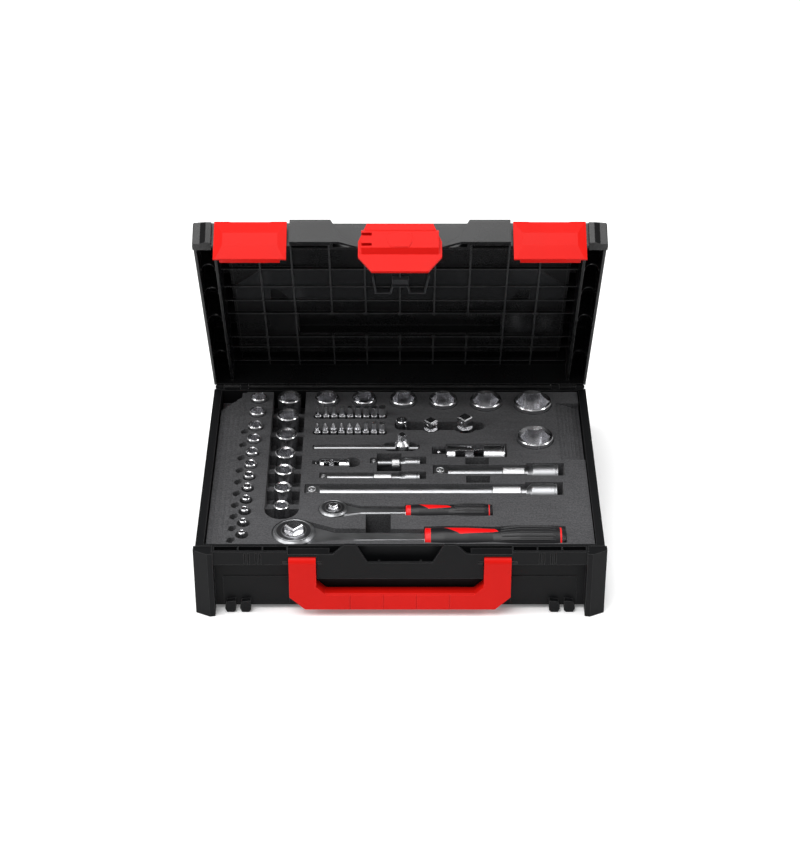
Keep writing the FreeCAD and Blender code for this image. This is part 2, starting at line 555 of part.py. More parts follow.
def extension_bar(length, side, d, end_d, x, y, z, grip):
    """A bar lying along X: drive square with its ball at the left, grip band, socket end at the right."""
    sq = side * 1.15
    end = end_d * 1.2
    neck = d / 2 - 0.4
    band = d / 2 + 0.6
    first, last = length - grip[0], length - grip[1]
    profile = [(0, d / 2 - 0.8), (1.2, d / 2), (first - 0.8, d / 2), (first, band), (last, band),
               (last + 0.8, neck)]
    profile += [(length - end - 5, neck), (length - end, end_d / 2), (length - 3.2, end_d / 2),
                (length - 2.8, end_d / 2 - 0.5), (length - 2.2, end_d / 2 - 0.5), (length - 1.8, end_d / 2),
                (length - 0.6, end_d / 2), (length, end_d / 2 - 0.6)]
    shaft = turned(profile, (x, y, z), (1, 0, 0))
    shaft = shaft.cut(box(x - 1, x + sq, y - d, y + d, z - d, z + d))
    square_end = box(x, x + sq + 0.1, y - side / 2, y + side / 2, z - side / 2, z + side / 2)
    square_end = square_end.makeChamfer(0.8, [e for e in square_end.Edges if e.BoundBox.XMax < x + 0.1])
    ball = detent(x + sq * 0.45, y, z + side / 2, (0, 0, 1), side)
    bar = join([shaft, square_end, ball])
    hole = side + SQ_PLAY
    half = hole / 2
    return bar.cut(box(x + length - side, x + length + 1, y - half, y + half, z - half, z + half))


def universal_joint(side, d, x0, xc, x1, y, z):
    """Drive yoke, cross and socket yoke along X, pivoting at xc."""
    gap = d * 0.25
    arm = d * 0.2
    base = d * 0.64
    reach = d * 0.17
    pin = d * 0.1
    sq = side * 1.1
    left = turned([(0, d / 2 - 1), (1, d / 2), (xc - base - x0 - sq, d / 2)], (x0 + sq, y, z), (1, 0, 0))
    tail = x1 - xc - base
    right = turned([(0, d / 2), (tail - 3.4, d / 2), (tail - 3, d / 2 - 0.5), (tail - 2.4, d / 2 - 0.5),
                    (tail - 2, d / 2), (tail - 0.6, d / 2), (tail, d / 2 - 0.6)], (xc + base, y, z), (1, 0, 0))
    barrel = cyl(d / 2, (xc - base - 0.1, y, z), (1, 0, 0), 2 * base + 0.2)
    upright = box(xc - base - 0.1, xc + reach, y - arm, y + arm, z + gap, z + d)
    lying = box(xc - reach, xc + base + 0.1, y + gap, y + d, z - arm, z + arm)
    arms_left = [barrel.common(upright), barrel.common(upright.mirror(V(xc, y, z), V(0, 0, 1)))]
    arms_right = [barrel.common(lying), barrel.common(lying.mirror(V(xc, y, z), V(0, 1, 0)))]
    square_end = box(x0, x0 + sq + 0.1, y - side / 2, y + side / 2, z - side / 2, z + side / 2)
    square_end = square_end.makeChamfer(0.8, [e for e in square_end.Edges if e.BoundBox.XMax < x0 + 0.1])
    ball = detent(x0 + sq * 0.45, y, z + side / 2, (0, 0, 1), side)
    bores = group([cyl(pin + FIT, (xc, y, z - d), (0, 0, 1), 2 * d),
                   cyl(pin + FIT, (xc, y - d, z), (0, 1, 0), 2 * d)])
    drive = join([left, square_end, ball] + arms_left).cut(bores)
    hole = side + SQ_PLAY
    mouth = box(x1 - side, x1 + 1, y - hole / 2, y + hole / 2, z - hole / 2, z + hole / 2)
    socket = join([right] + arms_right).cut(bores).cut(mouth)
    half = gap - SEAM
    block = box(xc - arm, xc + arm, y - half, y + half, z - half, z + half)
    long = d * 0.94
    pins = [cyl(pin, (xc, y, z - long / 2), (0, 0, 1), long), cyl(pin, (xc, y - long / 2, z), (0, 1, 0), long)]
    return drive, join([block] + pins), socket


def adapter(x, y, body_d, hole, stud, low, shoulder):
    """An upright adapter: a square socket below, a flared shoulder, and a square stud turned 45 degrees."""
    tall = shoulder - low
    profile = [(0, body_d / 2 - 0.8), (0.8, body_d / 2), (tall * 0.6, body_d / 2),
               (tall * 0.72, stud * 0.62), (tall - 2, stud * 0.75), (tall, stud * 0.75)]
    body = turned(profile, (x, y, low), (0, 0, 1))
    top = shoulder + stud * 1.05
    post_shape = square(stud, x, y, shoulder - 0.1, top, 45)
    post_shape = post_shape.makeChamfer(0.9, [e for e in post_shape.Edges if e.BoundBox.ZMin > top - 0.1])
    reach = stud / 2 / math.sqrt(2)
    ball = detent(x - reach, y - reach, shoulder + stud * 0.55, (-math.sqrt(0.5), -math.sqrt(0.5), 0), stud)
    return join([body, post_shape, ball]).cut(square(hole + SQ_PLAY, x, y, low - 1, low + hole * 0.95))


def bit_holder(x, y, low, top):
    tall = top - low
    profile = [(0, 6.4), (0.6, 7), (tall - 14, 7), (tall - 13, 5.8), (tall - 0.6, 5.8), (tall, 5.2)]
    body = turned(profile, (x, y, low), (0, 0, 1))
    mouth = hexagon(BIT_AF + SQ_PLAY, x, y, top - 11, top + 1)
    return body.cut(group([mouth, square(QUARTER_SQ + SQ_PLAY, x, y, low - 1, low + 7)]))


def bit(x, y, tip):
    """A quarter-inch hexagon shank with a waist, standing point up."""
    low = FOAM_TOP + BIT_PROUD - BIT_LENGTH
    top = low + BIT_LENGTH
    shank = hexagon(BIT_AF, x, y, low, low + 15)
    neck = turned([(0, 3.5), (1.2, 2.9), (2.4, 2.9)], (x, y, low + 14.9), (0, 0, 1))
    return join([shank, neck, tip(x, y, low + 17, top)])


def hex_tip(af):
    return lambda x, y, z0, z1: hexagon(af, x, y, z0, z1)


def cross_tip(r, flutes):
    def tip(x, y, z0, z1):
        cone = turned([(0, r), (z1 - z0 - 2 * r, r), (z1 - z0, 0.5)], (x, y, z0), (0, 0, 1))
        for i in range(flutes):
            a = math.radians(360 * i / flutes + 45)
            centre = (x + 1.06 * r * math.cos(a), y + 1.06 * r * math.sin(a), z0 + 1.5)
            cone = cone.cut(cyl(r * 0.62, centre, (0, 0, 1), BIT_LENGTH))
        return cone
    return tip


def star_tip(r):
    def tip(x, y, z0, z1):
        rod = cyl(r, (x, y, z0), (0, 0, 1), z1 - z0)
        for i in range(6):
            a = math.radians(60 * i)
            centre = (x + 1.08 * r * math.cos(a), y + 1.08 * r * math.sin(a), z0 + 1)
            rod = rod.cut(cyl(r * 0.3, centre, (0, 0, 1), BIT_LENGTH))
        return rod
    return tip


def bit_row(tips, first, row):
    pieces = [bit(BIT_X + BIT_PITCH * (first + i), BIT_ROWS[row], tip) for i, tip in enumerate(tips)]
    return group(pieces)


# ---------------------------------------------------------------- ratchets
LARGE = dict(x=-102.5, y=-112.5, z=66.0, head_d=42.0, head_t=19.0, side=HALF_SQ, neck=15.0, neck_t=11.0,
             collar=23.7, grip=29.6, end=160.0, grip_y=-117.0,
             r=(12.5, 13.4, 11.8, 14.6))
SMALL_R = dict(x=-65.3, y=-75.0, z=69.5, head_d=28.0, head_t=13.0, side=QUARTER_SQ, neck=9.5, neck_t=7.5,
               collar=5.6, grip=10.5, end=90.3, grip_y=-76.5,
               r=(8.4, 9.2, 8.2, 10.2))


def grip_profile(p, inset=0.0):
    """The waisted grip: distances from the collar and radii."""
    long = p["end"] - p["grip"]
    r1, r2, r3, r4 = [r - inset for r in p["r"]]
    return [(0, r1), (long * 0.1, r2), (long * 0.28, r2 - 0.3), (long * 0.46, r3), (long * 0.66, r4),
            (long * 0.9, r4 - 0.4), (long * 0.97, r4 - 1.6), (long, r4 - 4)]


def ratchet(p):
    """All six pieces of a ratchet lying along X with its square upwards."""
    x, y, z = p["x"], p["y"], p["z"]
    top, low = z + p["head_t"] / 2, z - p["head_t"] / 2
    head_r = p["head_d"] / 2
    gear_r = head_r * 0.66
    head = cyl(head_r, (x, y, low), (0, 0, 1), p["head_t"])
    rims = [e for e in head.Edges if e.Closed and e.BoundBox.ZLength < 0.1]
    head = head.makeChamfer(p["head_t"] * 0.12, rims)
    n, gy, t = p["neck"] / 2, p["grip_y"], p["neck_t"] / 2
    start = x + head_r * 0.55
    flank = head_r * 0.78
    mid = x + head_r * 1.9
    slim = p["collar"] - 1
    plan = [(start, y - flank), (mid, gy - n * 1.1), (slim, gy - n), (p["grip"] + 2, gy - n),
            (p["grip"] + 2, gy + n), (slim, gy + n), (mid, gy + n * 1.1), (start, y + flank)]
    neck = prism([(px, py, z - t) for px, py in plan], (0, 0, 2 * t))
    long_edges = [e for e in neck.Edges if abs(e.BoundBox.ZLength) < 0.1 and e.Length > p["neck"] * 2]
    neck = neck.makeChamfer(t * 0.45, long_edges)
    tang_r = n * 0.72
    tang = cyl(tang_r, (p["grip"] + 1, gy, z), (1, 0, 0), (p["end"] - p["grip"]) * 0.62)
    wide, tall = n + 0.05, t + 0.05
    collar_hole = box(p["collar"] - 1, p["grip"] + 2.2, gy - wide, gy + wide, z - tall, z + tall)
    body = join([head, neck, tang])
    body = body.cut(cyl(gear_r + SEAM, (x, y, low + 3), (0, 0, 1), p["head_t"]))
    body = body.cut(cyl(head_r * 0.82 + 0.1, (x, y, top - 1.6), (0, 0, 1), 5))
    hub = p["side"] * 0.42
    body = body.cut(cyl(hub + FIT, (x, y, low - 1), (0, 0, 1), 6))

    teeth = 36
    disc = cyl(gear_r, (x, y, low + 3.4), (0, 0, 1), p["head_t"] - 3.4 - 1.6 - 0.4)
    notches = []
    for i in range(teeth):
        a = math.radians(360 * i / teeth)
        notch = box(-0.35, 0.35, gear_r - 0.7, gear_r + 1, low, top)
        notch.Placement = FreeCAD.Placement(V(x, y, 0), FreeCAD.Rotation(V(0, 0, 1), math.degrees(a)))
        notches.append(notch)
    disc = disc.cut(group(notches))
    rise = top + p["side"] * 0.55
    stud = square(p["side"], x, y, top - 3, rise, 45)
    stud = stud.makeChamfer(p["side"] * 0.07, [e for e in stud.Edges if e.BoundBox.ZMin > rise - 0.1])
    collar = cyl(p["side"] * 0.74, (x, y, top - 4), (0, 0, 1), 4.4)
    reach = p["side"] / 2 / math.sqrt(2)
    ball = detent(x - reach, y - reach, top + p["side"] * 0.3, (-math.sqrt(0.5), -math.sqrt(0.5), 0), p["side"])
    drive = join([disc, stud, collar, ball])

    cover = cyl(head_r * 0.82, (x, y, top - 1.6), (0, 0, 1), 1.8)
    cover = cover.cut(cyl(p["side"] * 0.74 + SEAM, (x, y, top - 3), (0, 0, 1), 6))

    knob_r = head_r * 0.45
    knob = cyl(knob_r, (x, y, low - 3.2), (0, 0, 1), 2.8)
    thumb = box(x, x + knob_r * 1.5, y - knob_r * 0.28, y + knob_r * 0.28, low - 3.2, low - 0.4)
    lever = join([knob, thumb, cyl(hub, (x, y, low - 0.5), (0, 0, 1), 3.2)])

    sleeve = turned(grip_profile(p), (p["grip"], gy, z), (1, 0, 0))
    core = turned(grip_profile(p, 1.2), (p["grip"], gy, z), (1, 0, 0))
    long = p["end"] - p["grip"]
    a, b = p["grip"] + long * 0.1, p["grip"] + long * 0.5
    half = p["r"][1] * 0.36
    band = [(a, gy + half), (b - 4, gy + half * 1.1), (b, gy - half * 0.2), (a + long * 0.12, gy - half)]
    panel = prism([(px, py, z) for px, py in band], (0, 0, 40))
    inlay = sleeve.common(panel).cut(core)
    ring = turned([(0, 30), (long * 0.012, 30)], (p["end"] - long * 0.045, gy, z), (1, 0, 0))
    ring = sleeve.common(ring).cut(core)
    hole = cyl(tang_r + FIT, (p["grip"] - 1, gy, z), (1, 0, 0), long * 0.62 + 2.4)
    grip = sleeve.cut(group([panel.common(sleeve).cut(core), ring, hole, collar_hole]))
    front_ring = turned([(0, p["r"][0] * 0.86), (0.8, p["r"][0]), (p["grip"] - p["collar"], p["r"][0])],
                        (p["collar"], gy, z), (1, 0, 0)).cut(collar_hole)
    inlays = group([front_ring, inlay, ring])
    return dict(body=body, drive=drive, cover=cover, lever=lever, grip=grip, inlays=inlays)


def ratchet_pocket(p):
    """The space milled for a ratchet, its own outline in plan with the pocket clearance."""
    c = POCKET
    x, y, z = p["x"], p["y"], p["z"]
    low = z - p["head_t"] / 2 - 3.2 - c
    head_r = p["head_d"] / 2
    up = CASE_H
    shapes = [cyl(head_r + c, (x, y, low), (0, 0, 1), up)]
    side = [(p["grip"] + s, r + c) for s, r in grip_profile(p)]
    side = [(p["collar"] - c, p["r"][0] + c)] + side[:-1] + [(p["end"] + c, side[-2][1])]
    plan = [(sx, p["grip_y"] + r) for sx, r in side] + [(sx, p["grip_y"] - r) for sx, r in reversed(side)]
    shapes.append(prism([(sx, sy, z - max(p["r"]) - c) for sx, sy in plan], (0, 0, up)))
    n = p["neck"] / 2 + c + 0.5
    mid = x + head_r * 1.9
    flank = head_r * 1.08
    gy, end = p["grip_y"], p["collar"]
    neck = [(x, y - flank), (mid, gy - n * 1.15), (end, gy - n), (end, gy + n), (mid, gy + n * 1.15),
            (x, y + flank)]
    shapes.append(prism([(sx, sy, z - p["neck_t"] / 2 - c) for sx, sy in neck], (0, 0, up)))
    return shapes


# ---------------------------------------------------------------- places of the bars, joints and adapters
# length, drive, shaft diameter, socket end diameter, left end, y, z of the axis,
# and how far the two ends of the grip band are from the socket end
BARS = {
    "extension_bar_250": (250.0, HALF_SQ, 13.5, 21.0, -94.2, -40.0, 67.0, (64.0, 36.0)),
    "extension_bar_125": (125.0, HALF_SQ, 13.5, 21.0, 33.6, -6.5, 67.0, (55.6, 33.6)),
    "extension_bar_100": (100.0, QUARTER_SQ, 7.5, 12.0, -80.2, -17.0, 70.0, (46.0, 28.4)),
    "extension_bar_50": (50.0, QUARTER_SQ, 7.5, 12.0, -29.8, 9.5, 70.0, (28.8, 20.6)),
}
TEE = dict(x0=-88.0, x1=19.0, y=34.0, z=71.5, r=3.1, slide=2.2, head_r=7.5, left=12.0, right=8.0)
HALF_JOINT = dict(side=HALF_SQ, d=23.0, x0=33.0, xc=70.5, x1=106.3, y=27.5, z=66.0)
QUARTER_JOINT = dict(side=QUARTER_SQ, d=12.4, x0=-88.0, xc=-69.0, x1=-51.0, y=6.0, z=70.0)
ADAPTER_Y = (75.0, 70.0, 70.5)
ADAPTER_X = (1.8, 31.7, 67.0)
ADAPTER_LOW = FOAM_TOP - 26


def tee_bar():
    """The T-bar's rod, and the block that slides along it with a square on top."""
    x0, x1, y, z, r, mid, head_r = (TEE[k] for k in ("x0", "x1", "y", "z", "r", "slide", "head_r"))
    rod = cyl(r, (x0, y, z), (1, 0, 0), x1 - x0)
    rod = rod.makeChamfer(0.8, [e for e in rod.Edges if e.Closed])
    shape = [(0, head_r - 0.8), (0.8, head_r), (13.5, head_r), (17, QUARTER_SQ * 0.72)]
    block = turned(shape, (mid, y, z - 6.8), (0, 0, 1))
    stud = square(QUARTER_SQ, mid, y, z + 10, z + 17.5, 45)
    ball = detent(mid - 2.2, y - 2.2, z + 13.6, (-math.sqrt(0.5), -math.sqrt(0.5), 0), QUARTER_SQ)
    bore = cyl(r + FIT, (x0, y, z), (1, 0, 0), x1 - x0)
    return rod, join([block, stud, ball]).cut(bore)


# ---------------------------------------------------------------- foam
def slot(x0, x1, y0, y1, z):
    """A milled slot with rounded ends, open upwards."""
    r = min(x1 - x0, y1 - y0) / 2
    if x1 - x0 > y1 - y0:
        ends = [(x0 + r, (y0 + y1) / 2), (x1 - r, (y0 + y1) / 2)]
        middle = box(x0 + r, x1 - r, y0, y1, z, CASE_H)
    else:
        ends = [((x0 + x1) / 2, y0 + r), ((x0 + x1) / 2, y1 - r)]
        middle = box(x0, x1, y0 + r, y1 - r, z, CASE_H)
    return [middle] + [cyl(r, (x, y, z), (0, 0, 1), CASE_H - z) for x, y in ends]


def socket_pockets():
    shapes = []
    for name, af, d, length, x, y in half_inch_sockets():
        r = max(d, HALF_DRIVE_D) / 2 + POCKET
        shapes.append(cyl(r, (x, y, FOAM_TOP + SOCKET_PROUD - length - POCKET), (0, 0, 1), CASE_H))
    for af, d, y in SMALL:
        r = max(d, SMALL_DRIVE_D) / 2 + POCKET
        low = FOAM_TOP + SOCKET_PROUD - 1 - SMALL_LENGTH - POCKET
        shapes.append(cyl(r, (small_x(y), y, low), (0, 0, 1), CASE_H))
        if y < 80:
            shapes.append(cyl(4.4, (small_x(y) - 10.5, y - 7.5, FOAM_TOP - 9), (0, 0, 1), CASE_H))
    return shapes


def column_trench():
    """The long trench of the socket column, with foam bridges left between the sockets."""
    half = 17.0
    front = COLUMN[-1][2] - 18
    trench = slot(COLUMN_X - half, COLUMN_X + half, front, FOAM_REAR + 40, FOAM_TOP - 20)
    places = [y for af, d, y in COLUMN]
    bridges = []
    for behind, ahead in zip(places, places[1:]):
        y = (behind + ahead) / 2
        bridges.append(box(COLUMN_X - half, COLUMN_X + half, y - 4, y + 4, FOAM_TOP - 21, FOAM_TOP - 9))
    return join(trench).cut(group(bridges))


def bar_pocket(length, side, d, end_d, x, y, z, grip):
    end = end_d * 1.2
    c = POCKET
    slim = d / 2 + 0.6 + c
    wide = end_d / 2 + c
    low = z - slim
    return [box(x - c, x + length - end - 4, y - slim, y + slim, low, CASE_H),
            box(x + length - end - 6, x + length + 6.5, y - wide, y + wide, z - wide, CASE_H)]


def joint_pocket(p, past):
    r = p["d"] / 2 + POCKET
    slim = p["side"] / 2 + POCKET
    start = p["x0"] + p["side"] * 1.1 - POCKET
    return [box(p["x0"] - POCKET, start + 1, p["y"] - slim, p["y"] + slim, p["z"] - slim, CASE_H),
            box(start, p["x1"] + past, p["y"] - r, p["y"] + r, p["z"] - r, CASE_H)]


def stairs(x_high, x_low, y0, y1, steps):
    """Relief milled in steps that fall from x_high towards x_low."""
    shapes = []
    for i in range(1, steps + 1):
        x = x_high + (x_low - x_high) * (i - 1) / steps
        end = x_low + math.copysign(5, x_low)
        shapes.append(box(min(x, end), max(x, end), y0, y1, FOAM_TOP - 1.1 * i, CASE_H))
    return shapes


def tool_pockets():
    shapes = []
    for size in BARS.values():
        shapes += bar_pocket(*size)
    c = POCKET
    y, z, slim, wide = TEE["y"], TEE["z"], TEE["r"] + c, TEE["head_r"] + c
    shapes.append(box(TEE["x0"] - 1, TEE["x1"] + 1, y - slim, y + slim, z - slim, CASE_H))
    left, right = TEE["slide"] - TEE["left"], TEE["slide"] + TEE["right"]
    shapes += slot(left - wide, right + wide, y - wide, y + wide, z - 6.8 - c)
    shapes += joint_pocket(HALF_JOINT, 2.6) + joint_pocket(QUARTER_JOINT, 5)
    shapes.append(cyl(8.6, (QUARTER_JOINT["x1"] + 3, QUARTER_JOINT["y"], FOAM_TOP - 14), (0, 0, 1), CASE_H))
    for x, y, r in zip(ADAPTER_X, ADAPTER_Y, (7.0, 9.5, 11.5)):
        shapes.append(cyl(r + c, (x, y, ADAPTER_LOW - c), (0, 0, 1), CASE_H))
    shapes += slot(-5.5, 87.5, 64.5, 79.5, FOAM_TOP - 14)
    for row in BIT_ROWS:
        low = FOAM_TOP + BIT_PROUD - BIT_LENGTH - c
        shapes += slot(BIT_X - 5, BIT_X + 8 * BIT_PITCH + 5.5, row - 4.3, row + 4.3, low)
    return shapes


def finger_notches():
    deep = FOAM_TOP - 22
    return [box(-23.4, 1.5, -10, 22, deep, CASE_H), box(-33.5, -9, -114.5, -84, deep, CASE_H),
            box(66, 90, 2, 14, deep, CASE_H), box(66, 90, -30, -18, deep, CASE_H)]




def foam_tray():
    tray = box(-FOAM_X, FOAM_X, FOAM_FRONT, FOAM_REAR, FOAM_SPLIT, FOAM_TOP)
    corner = [(-FOAM_X - 1, 109), (-FOAM_X - 1, 150), (-166, 150), (-166, 130)]
    cuts = [prism([(x, y, FOAM_TOP - 14) for x, y in corner], (0, 0, 60))]
    cuts += stairs(-161, -FOAM_X, FOAM_FRONT - 1, FOAM_REAR + 1, 5) + stairs(163, FOAM_X, 10, 115, 6)
    cuts += socket_pockets() + [column_trench()] + tool_pockets() + finger_notches()
    cuts += ratchet_pocket(LARGE) + ratchet_pocket(SMALL_R)
    for cut in cuts:
        tray = tray.cut(cut)
    return tray


def foam_underlay():
    return box(-FOAM_X, FOAM_X, FOAM_FRONT, FOAM_REAR, FLOOR_Z + 0.1, FOAM_SPLIT - 0.1)


# ---------------------------------------------------------------- write every piece
save("base_shell", base_shell())
shell, plate = lid_pieces()
save("lid_shell", shell)
save("lid_plate", plate)
save("hinge_pins", hinge_pins())
save("carry_handle", carry_handle())
save("handle_pins", handle_pins())
right_latch = latch()
save("right_latch", opened(right_latch))
save("left_latch", opened(mirrored(right_latch)))
save("latch_pins", opened(latch_pins()))
save("coupling_slider", opened(coupling_slider()))
save("slider_retainer", opened(slider_retainer()))
save("foam_tray", foam_tray())
save("foam_underlay", foam_underlay())

for size, sizes in (("large", LARGE), ("small", SMALL_R)):
    for piece, shape in ratchet(sizes).items():
        save(f"{size}_ratchet_{piece}", shape)

for name, sizes in BARS.items():
    save(name, extension_bar(*sizes))

rod, slider = tee_bar()
save("tee_bar_rod", rod)
save("tee_bar_slider", slider)

for size, sizes in (("half_inch", HALF_JOINT), ("quarter_inch", QUARTER_JOINT)):
    for piece, shape in zip(("drive_yoke", "cross", "socket_yoke"), universal_joint(**sizes)):
        save(f"{size}_joint_{piece}", shape)

save("bit_holder", bit_holder(ADAPTER_X[0], ADAPTER_Y[0], ADAPTER_LOW, FOAM_TOP + 6))
save("step_up_adapter", adapter(ADAPTER_X[1], ADAPTER_Y[1], 19.0, QUARTER_SQ, 9.5, ADAPTER_LOW, FOAM_TOP - 1))
save("step_down_adapter", adapter(ADAPTER_X[2], ADAPTER_Y[2], 23.0, HALF_SQ, 11.0, ADAPTER_LOW, FOAM_TOP + 1))

save("hex_key_bits", bit_row([hex_tip(af) for af in (2, 2.5, 3, 4, 5, 5.5, 6, 6.6, 7.2)], 0, 0))
save("cross_bits", bit_row([cross_tip(r, 4) for r in (1.8, 2.4, 3.0, 2.2, 2.8, 3.3)], 0, 1))
save("star_bits", bit_row([star_tip(r) for r in (1.9, 2.4, 3.0)], 6, 1))

small = []
for af, d, y in SMALL:
    place = (small_x(y), y, FOAM_TOP + SOCKET_PROUD - 1)
    small.append(socket_piece(af, d, SMALL_LENGTH, QUARTER_SQ, SMALL_DRIVE_D, *place))
save("quarter_inch_sockets", group(small))

for name, af, d, length, x, y in half_inch_sockets():
    save(name, socket_piece(af, d, length, HALF_SQ, HALF_DRIVE_D, x, y, FOAM_TOP + SOCKET_PROUD))
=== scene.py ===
# %% [markdown]
# # A socket wrench set in its case
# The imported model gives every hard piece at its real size. This script leaves those pieces where
# they are, gives each one a finish made of shader nodes, and adds the small relief that the eye
# expects: knurled bands, rib bosses, ball seats, cover rings, grip flutes and the fine cells of
# the foam.

# %% Load the frame
import json
import math
import bmesh
import bpy
from mathutils import Matrix, Vector


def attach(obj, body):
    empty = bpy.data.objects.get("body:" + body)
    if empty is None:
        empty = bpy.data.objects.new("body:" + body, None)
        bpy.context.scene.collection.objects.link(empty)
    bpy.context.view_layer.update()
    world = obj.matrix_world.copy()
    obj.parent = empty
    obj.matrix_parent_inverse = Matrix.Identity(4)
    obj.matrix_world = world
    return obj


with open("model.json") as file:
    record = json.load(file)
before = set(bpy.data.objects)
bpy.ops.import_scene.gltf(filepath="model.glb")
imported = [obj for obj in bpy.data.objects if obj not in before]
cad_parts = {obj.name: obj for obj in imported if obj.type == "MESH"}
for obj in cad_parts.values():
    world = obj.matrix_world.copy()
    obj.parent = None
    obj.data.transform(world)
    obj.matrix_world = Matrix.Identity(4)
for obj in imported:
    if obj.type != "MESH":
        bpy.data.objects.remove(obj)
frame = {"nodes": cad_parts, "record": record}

MM = 0.001
LID_OPEN = math.radians(60.0)
HINGE = Vector((0, 144, 76))                   # a point on the lid's hinge axis, in millimetres
BEVEL_SAMPLES = 4
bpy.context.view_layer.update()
nodes = frame["nodes"]

# %% [markdown]
# ## The camera
# The set is seen from the front and a little over a third of a right angle above, with a long
# lens, so that the lines of the case hardly converge. It comes first because everything else is
# judged through it.

# %% Camera
CAMERA_ELEVATION = math.radians(33.51)
CAMERA_DISTANCE = 2.2978
CAMERA_AIM = Vector((0, 0, 0.123))


def add_camera():
    camera = bpy.data.objects.new("camera", bpy.data.cameras.new("camera"))
    camera.data.lens = 97.85
    camera.data.sensor_width = 36.0
    back = Vector((0, -math.cos(CAMERA_ELEVATION), math.sin(CAMERA_ELEVATION)))
    camera.location = CAMERA_AIM + back * CAMERA_DISTANCE
    camera.rotation_euler = (math.pi / 2 - CAMERA_ELEVATION, 0, 0)
    bpy.context.collection.objects.link(camera)
    bpy.context.scene.camera = camera
    return camera


print("camera at", [round(v, 3) for v in add_camera().location])

# %% [markdown]
# ## Shader maths as plain expressions
# A shader is a graph, but most of it is arithmetic. Wrapping an output socket in a small class
# lets the graph be written as ordinary expressions: each operator adds one Math node and returns
# its output.

# %% Sockets with operators


class Value:
    """An output socket of a material's node tree, with arithmetic."""

    def __init__(self, tree, socket):
        self.tree = tree
        self.socket = socket

    def math(self, operation, a, b=None, clamp=False):
        node = self.tree.nodes.new("ShaderNodeMath")
        node.operation = operation
        node.use_clamp = clamp
        for slot, value in zip(node.inputs, (a, b)):
            if isinstance(value, Value):
                self.tree.links.new(value.socket, slot)
            elif value is not None:
                slot.default_value = value
        return Value(self.tree, node.outputs[0])

    def __add__(self, other):
        return self.math("ADD", self, other)

    def __radd__(self, other):
        return self.math("ADD", other, self)

    def __sub__(self, other):
        return self.math("SUBTRACT", self, other)

    def __rsub__(self, other):
        return self.math("SUBTRACT", other, self)

    def __mul__(self, other):
        return self.math("MULTIPLY", self, other)

    def __rmul__(self, other):
        return self.math("MULTIPLY", other, self)

    def clamped(self):
        return self.math("ADD", self, 0.0, clamp=True)

    def near(self, width):
        """1 where the value is within a width of zero."""
        return self.math("LESS_THAN", self.math("ABSOLUTE", self), width)


class Finish:
    """A material under construction: one method makes every node that isn't arithmetic."""

    def __init__(self, name):
        self.material = bpy.data.materials.new(name)
        self.material.use_nodes = True
        self.tree = self.material.node_tree
        self.shader = self.tree.nodes["Principled BSDF"]
        self.place = self.node("ShaderNodeTexCoord", out="Object")

    def node(self, kind, settings=None, out=0, **values):
        node = self.tree.nodes.new(kind)
        for key, value in (settings or {}).items():
            setattr(node, key, value)
        for key, value in values.items():
            self.feed(node.inputs[key.replace("_", " ")], value)
        return Value(self.tree, node.outputs[out])

    def feed(self, socket, value):
        if isinstance(value, Value):
            self.tree.links.new(value.socket, socket)
        elif isinstance(value, tuple) and len(value) == 3 and socket.type == "RGBA":
            socket.default_value = (*value, 1)
        else:
            socket.default_value = value

    def noise(self, scale, detail=2.0, roughness=0.5):
        return self.node("ShaderNodeTexNoise", out="Fac", Vector=self.place, Scale=scale,
                         Detail=detail, Roughness=roughness)

    def stretched(self, scale, stretch, detail=2.0):
        """Noise drawn out along one axis, for brushing and turning marks."""
        mapped = self.node("ShaderNodeMapping", Vector=self.place, Scale=stretch)
        return self.node("ShaderNodeTexNoise", out="Fac", Vector=mapped, Scale=scale,
                         Detail=detail)

    def mix(self, factor, a, b):
        node = self.tree.nodes.new("ShaderNodeMix")
        node.data_type = "RGBA"
        self.feed(node.inputs[0], factor)
        self.feed(node.inputs[6], a)
        self.feed(node.inputs[7], b)
        return Value(self.tree, node.outputs[2])

    def edges(self, radius):
        """Near 1 along sharp edges, where a painted highlight goes: how far rounding turns the
        normal.
        """
        flat = self.node("ShaderNodeNewGeometry", out="True Normal")
        round_off = self.node("ShaderNodeBevel", {"samples": BEVEL_SAMPLES}, Radius=radius)
        node = self.tree.nodes.new("ShaderNodeVectorMath")
        node.operation = "DOT_PRODUCT"
        self.feed(node.inputs[0], flat)
        self.feed(node.inputs[1], round_off)
        return ((1 - Value(self.tree, node.outputs["Value"])) * 5.0 - 0.08).clamped()

    def bump(self, height, depth, strength=1.0, rounded=0.0):
        """Relief of a height from 0 to 1 over a depth in metres; edges may be softened too."""
        values = dict(Height=height, Distance=depth, Strength=strength)
        if rounded:
            bevel = self.node("ShaderNodeBevel", {"samples": BEVEL_SAMPLES}, Radius=rounded)
            values["Normal"] = bevel
        self.feed(self.shader.inputs["Normal"], self.node("ShaderNodeBump", **values))

    def set(self, **values):
        for key, value in values.items():
            self.feed(self.shader.inputs[key.replace("_", " ")], value)
        return self


print("shader helpers ready")

# %% [markdown]
# ## Moulded plastic
# The case is textured black plastic: a spark-eroded grain on the outside, smoother inside the
# lid. The grain is a fine noise in the bump, and a much larger noise moves the roughness so that
# the highlight breaks up the way it does on a handled case. The Bevel node rounds the hard edges
# of the moulding.

# %% Plastic finishes
# Radius of the painted highlight along sharp edges
EDGE_HIGHLIGHT_RADIUS = 0.0009
# Painted reflection on the lid's raised panel, and painted highlight on its rib tips
PANEL_REFLECTION_COLOUR = (0.0125, 0.013, 0.0138)
RIB_TIP_HIGHLIGHT_COLOUR = (0.045, 0.046, 0.048)
PANEL_HEIGHT = 0.1006                          # faces of the closed lid, above the floor
RIB_TIP_HEIGHT = 0.0990
FACE_TOLERANCE = 0.00012


